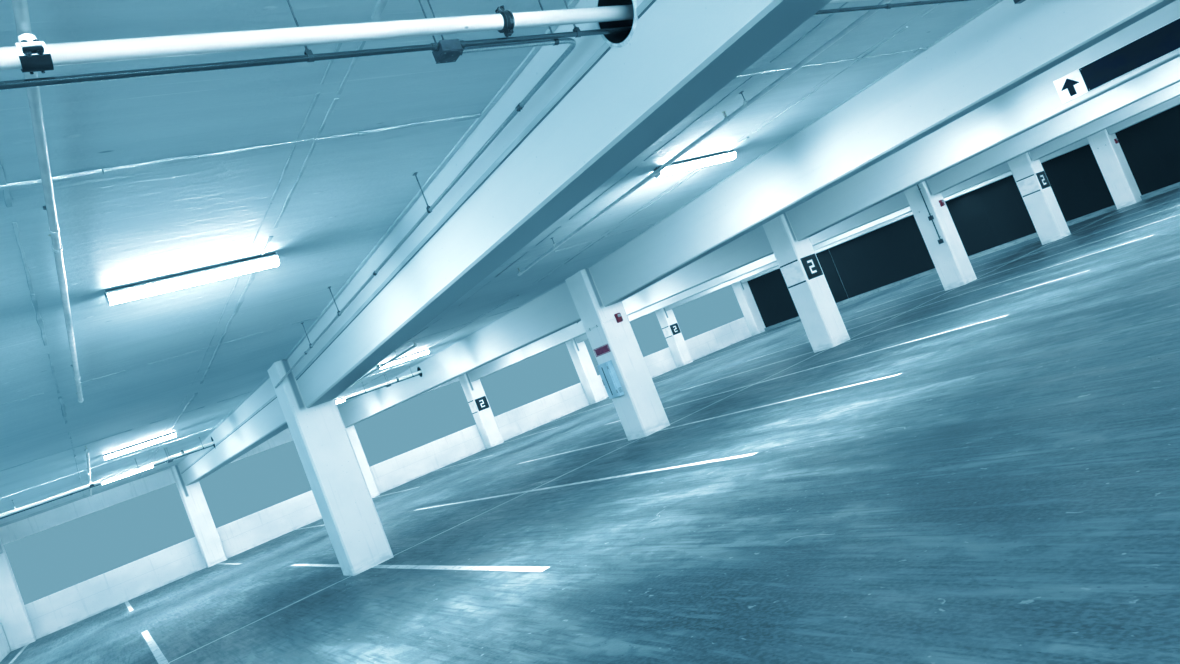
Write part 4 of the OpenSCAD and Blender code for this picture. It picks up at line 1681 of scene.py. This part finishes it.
    def riser(self, boxes: Form, couplers: Form) -> None:
        """Dresses the upright conduit on the fifth column of the middle row.

        Args:
            boxes: The piece that takes the boxes.
            couplers: The piece that takes the saddles.
        """
        face = GRID.line(4) - GRID.column / 2 - GRID.seat
        low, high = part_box("riser_boxes")
        depth = high.x - low.x
        for height in self.riser_boxed:
            spot = placed(face - depth / 2, self.riser_side, GRID.floor + height, TO_LEFT)
            self.box_with_lid(boxes, spot, (0.11, 0.11, depth))
        arch = [(0.0, u, 0.0138 + v) for u, v in arc(0.0142, range(-60, 241, 20))]
        for height in self.riser_held:
            couplers.at(placed(face, self.riser_side, GRID.floor + height, TO_LEFT))
            couplers.block((-0.009, -0.034, 0.0003), (0.009, -0.014, 0.0025), 0.0006)
            couplers.block((-0.009, 0.014, 0.0003), (0.009, 0.034, 0.0025), 0.0006)
            couplers.tube(arch, 0.0016)

    def build(self) -> None:
        """Builds the fittings of the long conduits, the beam conduit and the riser."""
        couplers, boxes = Form("conduit_couplers"), Form("lidded_boxes")
        clips, hangers = Form("conduit_rod_clips"), Form("beam_conduit_hangers")
        self.long_runs(couplers, boxes, clips)
        self.beam_run(couplers, hangers)
        self.riser(boxes, couplers)
        couplers.make([CONDUIT_ZINC], "conduit_steel")
        boxes.make([BOX_ENAMEL, ZINC_STEEL], "box_steel", ["junction_boxes", "riser_boxes"])
        clips.make([CONDUIT_ZINC, ZINC_STEEL], "hanger_steel", ["conduit_clips"])
        hangers.make([CONDUIT_ZINC, ZINC_STEEL], "hanger_steel", ["conduit_hangers"])


@dataclass(frozen=True)
class Lamps:
    """Lit opal wraps, end caps and clips of the batten lamps."""

    length: float = 1.25
    cap: float = 0.009
    shift: float = 1.8
    offset: float = 5.4
    half_width: float = 0.06
    top: float = -0.0383
    depth: float = 0.062
    rail: float = 0.016
    steps: int = 24
    square: Pair = (0.62, 0.7)
    clip: float = 0.5

    def wrap(self) -> Points:
        """The rounded section of the lens, across and up.

        Returns:
            Its points in anticlockwise order.
        """
        outline = []
        for index in range(self.steps + 1):
            turn = math.pi + math.pi * index / self.steps
            across, down = math.cos(turn), math.sin(turn)
            across = math.copysign(abs(across) ** self.square[0], across)
            down = -(abs(down) ** self.square[1])
            outline.append((self.half_width * across, self.top + self.depth * down))
        return outline

    def places(self) -> list[Matrix]:
        """The place of every lamp on the slab, with its length along X.

        Returns:
            Places with the lamp along their Z and the slab above.
        """
        spots = []
        for number in GRID.bay_lines():
            for side in (-1, 1):
                for y in (self.offset, GRID.span - self.offset):
                    spot = under_slab(GRID.line(number) - self.shift, side * y)
                    spots.append(spot @ placed(turn=ALONG_X))
        return spots

    def build(self) -> None:
        """Builds the lens wraps and the trim of all the lamps."""
        lenses, trims = Form("lit_lens_wraps"), Form("lamp_end_caps")
        wrap = self.wrap()
        half = self.length / 2
        cover = shrink(wrap, -0.0025)
        for place in self.places():
            lenses.at(place)
            lenses.prism(wrap, -half + self.cap + 0.0002, half - self.cap - 0.0002)
            trims.at(place)
            for way in (-1, 1):
                low, high = sorted((way * (half - self.cap), way * half))
                trims.prism(cover, low, high, 0.0015)
                low, high = sorted((way * (half - 0.004), way * half))
                trims.prism(rectangle(0.079, 0.0371), low, high)
            for way in (-1, 1):
                trims.at(place)
                low, high = sorted((way * 0.0384, way * (self.half_width + 0.0022)))
                trims.block((low, self.top + 0.0001, 0.0003 - half),
                            (high, self.top + self.rail, half - 0.0003), 0.0012)
            for along in (-self.clip, self.clip):
                trims.at(place @ placed(z=along), 1)
                trims.block((0.037, -0.024, -0.012), (0.0405, -0.012, 0.012), 0.0008)
        lenses.make([LAMP_OPAL], "lamp_lens", ["lamp_lenses"])
        trims.make([LAMP_ENAMEL, ZINC_STEEL], "lamp_paint")


# Signs, cabinet and alarms


@dataclass(frozen=True)
class Signs:
    """Edge frames, screws and bands of the sign, the plates and the notice."""

    rail: float = 0.008
    proud: float = 0.003
    corner: float = 0.03
    plated_lines: tuple[int, int] = (3, 5)
    plate: float = 0.5
    plate_thick: float = 0.006
    plate_height: float = 1.8
    band: float = 0.54
    band_edge: float = 0.245

    def plated(self) -> Points:
        """X and row of the middle of every column with a number plate."""
        lines = [GRID.line(number) for number in self.plated_lines]
        return [(x, row) for x in lines for row in (0.0, GRID.span)]

    def frame_x(self, form: Form, name: str) -> None:
        """Frames a panel whose face looks towards smaller X, with screws in its corners.

        Args:
            form: The piece that takes the frame.
            name: The panel's node.
        """
        low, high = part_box(name)
        x = low.x
        form.at(Matrix.Identity(4))
        for y0, y1, z0, z1 in (
            (low.y, high.y, low.z, low.z + self.rail),
            (low.y, high.y, high.z - self.rail, high.z),
            (low.y, low.y + self.rail, low.z + self.rail, high.z - self.rail),
            (high.y - self.rail, high.y, low.z + self.rail, high.z - self.rail),
        ):
            form.block((x - self.proud, y0, z0), (x - 0.0002, y1, z1), 0.0008)
        for y in (low.y + self.corner, high.y - self.corner):
            for z in (low.z + self.corner, high.z - self.corner):
                form.screw(placed(x - 0.0003, y, z, TO_LEFT), 0.006)

    def build(self) -> None:
        """Builds the frames, the plate screws, the column bands and the notice border."""
        frames = Form("sign_frames")
        for name in ("sign_panel", "sign_arrow_panel"):
            self.frame_x(frames, name)
        frames.make([SIGN_WHITE], "hanger_steel")
        self.plates()
        self.bands()
        self.notice()

    def plates(self) -> None:
        """Screws the number plates to their columns and folds their edges."""
        form = Form("plate_edges")
        wide = self.plate
        outer = rectangle(wide, wide, 0.012)
        inner = rectangle(wide - 0.016, wide - 0.016, 0.008)
        corner = wide / 2 - self.corner
        for x, row in self.plated():
            y = row - GRID.column / 2 - GRID.seat - self.plate_thick
            place = placed(x, y, GRID.floor + self.plate_height, ALONG_Y)
            form.at(place @ placed(z=0.0012))
            form.band(outer, inner, 0.002)
            form.corner_screws(place, (corner, corner, 0.0002), 0.007, 1)
        form.make([PLATE_BLACK, ZINC_STEEL], "plate_dark")

    def bands(self) -> None:
        """Wraps a pale band with dark edges round the left face of the plated columns."""
        form = Form("column_bands")
        for x, row in self.plated():
            face = x - GRID.column / 2 - GRID.seat
            place = placed(face, row, GRID.floor + self.plate_height, UPRIGHT_LEFT)
            form.at(place)
            form.prism(rectangle(self.band, self.plate, 0.004), 0.0002, 0.0018, 0.0004)
            for height in (-self.band_edge, self.band_edge):
                form.at(place @ placed(y=height), 1)
                form.prism(rectangle(self.band, 0.03), 0.0018, 0.0026)
        form.make([SIGN_WHITE, PLATE_BLACK], "sign_light")

    def notice(self) -> None:
        """Edges the small red notice with a pale line."""
        low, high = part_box("notice_plate")
        form = Form("notice_border")
        place = placed(low.x, (low.y + high.y) / 2, (low.z + high.z) / 2, UPRIGHT_LEFT)
        form.at(place @ placed(z=0.0008))
        wide, tall = high.y - low.y, high.z - low.z
        form.band(rectangle(wide - 0.02, tall - 0.02, 0.004),
                  rectangle(wide - 0.028, tall - 0.028, 0.003), 0.001)
        form.at(place @ placed(0.03 - wide / 2))
        form.prism(rectangle(0.014, tall - 0.05), 0.0003, 0.0012)
        for u in (-1, 1):
            form.screw(place @ placed(u * (wide / 2 - self.corner), 0.0, 0.0003), 0.005)
        form.make([SIGN_WHITE], "sign_light")


@dataclass(frozen=True)
class Cabinet:
    """The pale blue cabinet on the left face of the third middle column."""

    bevel: float = 0.006
    slot: Pair = (0.004, 0.03)
    slot_end: float = 0.05
    hinge_inset: float = 0.09
    vents: int = 6
    vent_step: float = 0.016

    def build(self) -> None:
        """Builds the case, its door with a slot, the hinges, the vents and the lock."""
        low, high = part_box("cabinet_body")
        door_low, door_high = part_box("cabinet_door")
        form = Form("cabinet_case")
        form.block(low, high, self.bevel)
        form.block((low.x - 0.014, low.y - 0.008, high.z - 0.012),
                   (high.x, high.y + 0.008, high.z - 0.001), 0.003)
        middle = (door_low.y + door_high.y) / 2
        near, far = middle + self.slot[0], middle + self.slot[1]
        sill, lintel = door_low.z + self.slot_end, door_high.z - self.slot_end
        sunk = door_low.x + 0.006
        for start, end, bevel in (
            ((door_low.x, far, door_low.z), door_high, 0.004),
            (door_low, (door_high.x, near, door_high.z), 0.004),
            ((sunk, near, door_low.z), (door_high.x, far, sill), 0.002),
            ((sunk, near, lintel), (door_high.x, far, door_high.z), 0.002),
        ):
            form.block(start, end, bevel)
        # Painted shade: a black plate in the door's slot.
        form.at(Matrix.Identity(4), 2)
        form.block((door_low.x + 0.0015, near + 0.0002, sill + 0.0002),
                   (door_high.x - 0.0005, far - 0.0002, lintel - 0.0002))
        for z in (door_low.z + self.hinge_inset, door_high.z - self.hinge_inset):
            form.at(placed(door_low.x + 0.004, door_low.y - 0.005, z - 0.03), 1)
            form.lathe([(0.006, 0.0), (0.0065, 0.003), (0.0065, 0.057), (0.006, 0.06)], 12)
        # Painted shade: black strips for the vent slots.
        form.at(Matrix.Identity(4), 2)
        for step in range(self.vents):
            z = low.z + 0.06 + step * self.vent_step
            form.block((low.x + 0.02, low.y - 0.0012, z),
                       (high.x - 0.02, low.y + 0.001, z + 0.005))
        grip_low, grip_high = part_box("cabinet_handle")
        form.at(Matrix.Identity(4), 1)
        form.block(grip_low, (grip_low.x + 0.008, grip_high.y, grip_high.z), 0.003)
        for z in (grip_low.z, grip_high.z - 0.018):
            form.block((grip_low.x + 0.006, grip_low.y + 0.004, z),
                       (grip_high.x, grip_high.y - 0.004, z + 0.018), 0.002)
        lock = placed(door_low.x, grip_low.y + 0.012, grip_low.z - 0.05, TO_LEFT)
        form.at(lock, 1)
        form.lathe([(0.011, 0.0), (0.011, 0.003), (0.009, 0.004), (0.004, 0.004),
                    (0.0035, 0.002)], 18)
        form.make([CABINET_COAT, ZINC_STEEL, PLATE_BLACK], "cabinet_paint",
                  ["cabinet_body", "cabinet_door", "cabinet_handle"])


@dataclass(frozen=True)
class Alarms:
    """Wall alarms on the middle columns, with their strobes and surface ducts."""

    lines: tuple[int, ...] = (2, 4, 6)
    shift: float = 0.075
    height: float = 2.16
    size: Triple = (0.112, 0.06, 0.17)
    slots: int = 5
    slot_step: float = 0.01
    duct_deep: float = 0.014
    duct_half: float = 0.01
    duct_end: float = 0.26

    def build(self) -> None:
        """Builds the alarms and the ducts that feed them."""
        form, ducts = Form("alarm_units"), Form("alarm_ducts")
        wide, deep, tall = self.size
        face = -GRID.column / 2 - GRID.seat
        for number in self.lines:
            x, z = GRID.line(number) + self.shift, GRID.floor + self.height
            place = placed(x, face, z, ALONG_Y)
            form.at(place)
            form.prism(rectangle(wide, tall, 0.01), 0.0, deep * 0.45, 0.003)
            form.prism(rectangle(wide - 0.012, tall - 0.012, 0.012), deep * 0.45, deep, 0.005)
            # Painted shade: black strips for the sounder's slots.
            for step in range(self.slots):
                form.at(place @ placed(y=-0.028 - step * self.slot_step), 2)
                form.prism(rectangle(0.07, 0.004), deep - 0.001, deep + 0.0008)
            form.at(place @ placed(y=0.034), 1)
            form.prism(rectangle(0.07, 0.056, 0.012), deep, deep + 0.014, 0.004)
            form.lathe([(0.024, deep + 0.014), (0.022, deep + 0.024), (0.014, deep + 0.031),
                        (0.004, deep + 0.0335)], 20)
            for u in (-1, 1):
                form.screw(place @ placed(u * 0.043, -0.07, deep), 0.004, 3)
            self.duct(ducts, number, face, x, z)
        form.make([ALARM_RED, CLEAR_LENS, PLATE_BLACK, ZINC_STEEL], "alarm_red",
                  ["alarm_bases", "alarm_lenses"])
        ducts.make([PIPE_ENAMEL, ZINC_STEEL], "pipe_paint")

    def duct(self, form: Form, number: int, face: float, x: float, z: float) -> None:
        """Runs a small surface duct from an alarm round the column's left edge.

        Args:
            form: The piece that takes the duct.
            number: The column's line.
            face: Y of the column's face.
            x: Middle of the alarm.
            z: Height of the duct.
        """
        left = GRID.line(number) - GRID.column / 2 - GRID.seat
        form.at(Matrix.Identity(4))
        corner = (left - self.duct_deep, face - self.duct_deep, z - self.duct_half)
        for end in ((x - self.size[0] / 2, face - 0.0002), (left - 0.0002, self.duct_end)):
            form.block(corner, (*end, z + self.duct_half), 0.003)
        for y in (-0.15, 0.1):
            form.at(placed(left, y, z, TO_LEFT), 1)
            form.block((-0.02, -0.006, 0.0), (0.02, 0.006, 0.0152), 0.001)


# Camera, light and studio


@dataclass(frozen=True)
class PhotoCamera:
    """The camera at the place and turn solved from the photograph."""

    place: Triple = (-13.963, -11.960, 1.671)
    right: Triple = (0.78044, -0.50749, -0.36519)
    down: Triple = (-0.27996, 0.23861, -0.92989)
    ahead: Triple = (0.55904, 0.82796, 0.04415)
    lens: float = 24.30
    sensor: float = 36.0
    nearest: float = 0.05
    farthest: float = 500.0

    def build(self) -> None:
        """Adds the camera and makes it the scene's own."""
        data = bpy.data.cameras.new("photo_camera")
        data.lens = self.lens
        data.sensor_width = self.sensor
        data.clip_start = self.nearest
        data.clip_end = self.farthest
        camera = bpy.data.objects.new("photo_camera", data)
        axes = Matrix((
            self.right,
            tuple(-part for part in self.down),
            tuple(-part for part in self.ahead),
        )).transposed()
        camera.matrix_world = Matrix.Translation(self.place) @ axes.to_4x4()
        bpy.context.scene.collection.objects.link(camera)
        bpy.context.scene.camera = camera


@dataclass(frozen=True)
class Soft:
    """A wide soft light that stays out of the picture."""

    name: str
    place: Triple
    aim: Triple
    size: Pair
    power: float
    colour: Triple = (0.98, 1.0, 1.0)
    spread: float = 180.0
    spares: tuple[str, ...] = ()

    def build(self) -> None:
        """Adds the light at its place, with its long side level."""
        data = bpy.data.lights.new(self.name, "AREA")
        data.shape = "RECTANGLE"
        data.size, data.size_y = self.size
        data.energy = self.power
        data.color = self.colour
        data.spread = math.radians(self.spread)
        light = bpy.data.objects.new(self.name, data)
        light.location = self.place
        light.rotation_euler = Vector(self.aim).to_track_quat("-Z", "Y").to_euler()
        light.visible_camera = False
        light.visible_glossy = False
        bpy.context.scene.collection.objects.link(light)
        if self.spares:
            light.light_linking.receiver_collection = self.shade()

    def shade(self) -> bpy.types.Collection:
        """Finds or makes the collection of the spared nodes.

        Returns:
            The collection that keeps the light off the spared nodes.
        """
        name = "kept_off_" + self.spares[0]
        found = bpy.data.collections.get(name)
        if found is not None:
            return found
        made = bpy.data.collections.new(name)
        for node in self.spares:
            made.objects.link(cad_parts[node])
        for row in made.collection_objects:
            row.light_linking.link_state = "EXCLUDE"
        return made


@dataclass(frozen=True)
class LampLight:
    """The light that the lamps throw, helped by soft fill in every bay."""

    wash: float = 25.0
    wash_drop: float = 0.85
    wash_far: float = 1.6
    down: float = 47.0
    pool: float = 132.0
    pool_drop: float = 0.9
    beam: float = 100.0
    far_dim: float = 0.5
    far_beam: float = 145.0
    trough: float = 6.0
    level: float = 2.75
    front: float = 44.0
    ahead: float = 3.0
    face: float = 54.0
    pipe: float = 10.0
    side: float = 205.0
    side_tint: Triple = (0.58, 0.86, 1.0)
    tube: Pair = (1.2, 0.2)
    wash_out: float = 0.07
    wash_lean: float = 0.2
    front_level: float = 3.2
    front_dip: float = -0.08
    front_spread: float = 75.0
    face_level: float = 2.8
    face_dip: float = -0.33
    face_spread: float = 74.0
    pipe_back: float = 2.6
    pipe_rise: float = 0.02
    pipe_spread: float = 30.0

    def build(self) -> None:
        """Adds the light of every lamp and the fill between the beams."""
        for index, place in enumerate(Lamps().places()):
            self.lamp(index, place.translation)
        for number in GRID.bay_lines():
            x = GRID.line(number) - GRID.bay / 2 + 0.09
            for side in (-1, 1):
                y = side * GRID.span / 2
                name = f"{number}_{side}"
                Soft(f"trough_{name}", (x, y, self.level), (0.0, 0.0, 1.0),
                     (GRID.bay - 0.5, GRID.span - 1.0), self.trough).build()
                Soft(f"front_{name}", (x, y - self.ahead, self.front_level),
                     (0.0, 1.0, self.front_dip), (GRID.bay - 0.7, 0.4), self.front,
                     spread=self.front_spread, spares=CEILING).build()
                start = GRID.line(number - 1) + GRID.beam_right + 0.03
                Soft(f"face_{name}", (start, y, self.face_level), (1.0, 0.0, self.face_dip),
                     (GRID.span - 1.2, 0.4), self.face, spread=self.face_spread,
                     spares=CEILING).build()
                spot = (x, side * GRID.main_offset - self.pipe_back, GRID.main_height())
                Soft(f"pipe_{name}", spot, (0.0, 1.0, self.pipe_rise), (GRID.bay - 0.7, 0.1),
                     self.pipe, spread=self.pipe_spread).build()
        Soft("side_fill", (GRID.line(0) + 0.4, 0.0, 1.5), (1.0, 0.0, 0.0), (30.0, 1.6),
             self.side, colour=self.side_tint, spares=PIPES).build()

    def lamp(self, index: int, spot: Vector) -> None:
        """Adds the glow on the slab, the spread below and the pool on the floor.

        Args:
            index: Number of the lamp.
            spot: Its place on the slab.
        """
        x, y, z = spot
        wash = self.wash * (self.wash_far if x > GRID.line(1) else 1.0)
        for way in (-1, 1):
            Soft(f"lamp_wash_{index}_{way}", (x, y + way * self.wash_out, z - self.wash_drop),
                 (0.0, way, 0.0), self.tube, wash * (1 + self.wash_lean * way)).build()
        Soft(f"lamp_down_{index}", (x, y, z - 0.13), (0.0, 0.0, -1.0), (1.2, 0.3),
             self.down).build()
        pool = self.pool * (self.far_dim if y > 0 and x > GRID.line(1) else 1.0)
        Soft(f"lamp_pool_{index}", (x, y, z - self.pool_drop), (0.0, 0.0, -1.0),
             (GRID.bay - 0.4, 0.4), pool,
             spread=self.far_beam if y > 0 else self.beam).build()


@dataclass(frozen=True)
class Studio:
    """The pale floor under the model and the soft light round it."""

    floor_size: float = 90.0
    sky: str = "#97a4a9"
    sky_power: float = 1.0
    soft_power: float = 9500.0
    soft_size: float = 26.0
    floor_level: float = -0.002
    corners: tuple[Triple, ...] = (
        (-34.0, -34.0, 30.0), (36.0, -30.0, 24.0), (30.0, 36.0, 26.0), (-30.0, 34.0, 22.0),
    )

    def build(self) -> None:
        """Adds the floor, the world light and four wide soft lights."""
        mesh = bpy.data.meshes.new("studio_floor")
        sheet = rectangle(2 * self.floor_size, 2 * self.floor_size)
        mesh.from_pydata([(x, y, self.floor_level) for x, y in sheet], [], [(0, 1, 2, 3)])
        mesh.materials.append(STUDIO_FLOOR.made())
        floor = bpy.data.objects.new("studio_floor", mesh)
        bpy.context.scene.collection.objects.link(floor)
        world = bpy.data.worlds.new("soft_world")
        world.use_nodes = True
        back = world.node_tree.nodes["Background"]
        back.inputs["Color"].default_value = linear(self.sky)
        back.inputs["Strength"].default_value = self.sky_power
        bpy.context.scene.world = world
        for number, place in enumerate(self.corners):
            aim = tuple(-part for part in place)
            Soft(f"soft_light_{number}", place, aim, (self.soft_size, self.soft_size),
                 self.soft_power).build()


@dataclass(frozen=True)
class Grade:
    """The cool grade: dark and middle tones lean to cyan and the whites stay white."""

    red: tuple[Pair, ...] = (
        (0.046, 0.0165), (0.147, 0.057), (0.207, 0.094), (0.33, 0.184), (0.475, 0.32),
        (0.665, 0.565), (0.81, 0.765), (0.91, 0.9),
    )
    blue: tuple[Pair, ...] = (
        (0.02, 0.03), (0.103, 0.143), (0.18, 0.243), (0.257, 0.328), (0.41, 0.49),
        (0.58, 0.675), (0.78, 0.84), (0.92, 0.945),
    )

    def build(self) -> None:
        """Sets the view transform and its red and blue curves."""
        view = bpy.context.scene.view_settings
        view.view_transform = "Standard"
        view.use_curve_mapping = True
        curves = view.curve_mapping
        for channel, spots in ((0, self.red), (2, self.blue)):
            for spot in spots:
                curves.curves[channel].points.new(*spot)
        curves.update()


def dress_frame() -> None:
    """Gives every node of the frame its finish."""
    for finish, names in NODE_FINISHES:
        for name in names:
            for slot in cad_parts[name].material_slots:
                slot.material = finish.made()


def main() -> None:
    """Builds the storey's pieces in order, updating the view layer before and after."""
    logging.basicConfig(level=logging.INFO, format="%(name)s: %(message)s")
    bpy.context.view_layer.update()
    PhotoCamera().build()
    dress_frame()
    for part in (
        StallMarkings(), SlabFins(), BeamTrim(), FacadeSeals(), Pipework(), Electrical(),
        Lamps(), Signs(), Cabinet(), Alarms(), Studio(), LampLight(),
    ):
        LOG.info("building %s", type(part).__name__)
        part.build()
    Grade().build()
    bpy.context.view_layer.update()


if __name__ == "__main__":
    main()
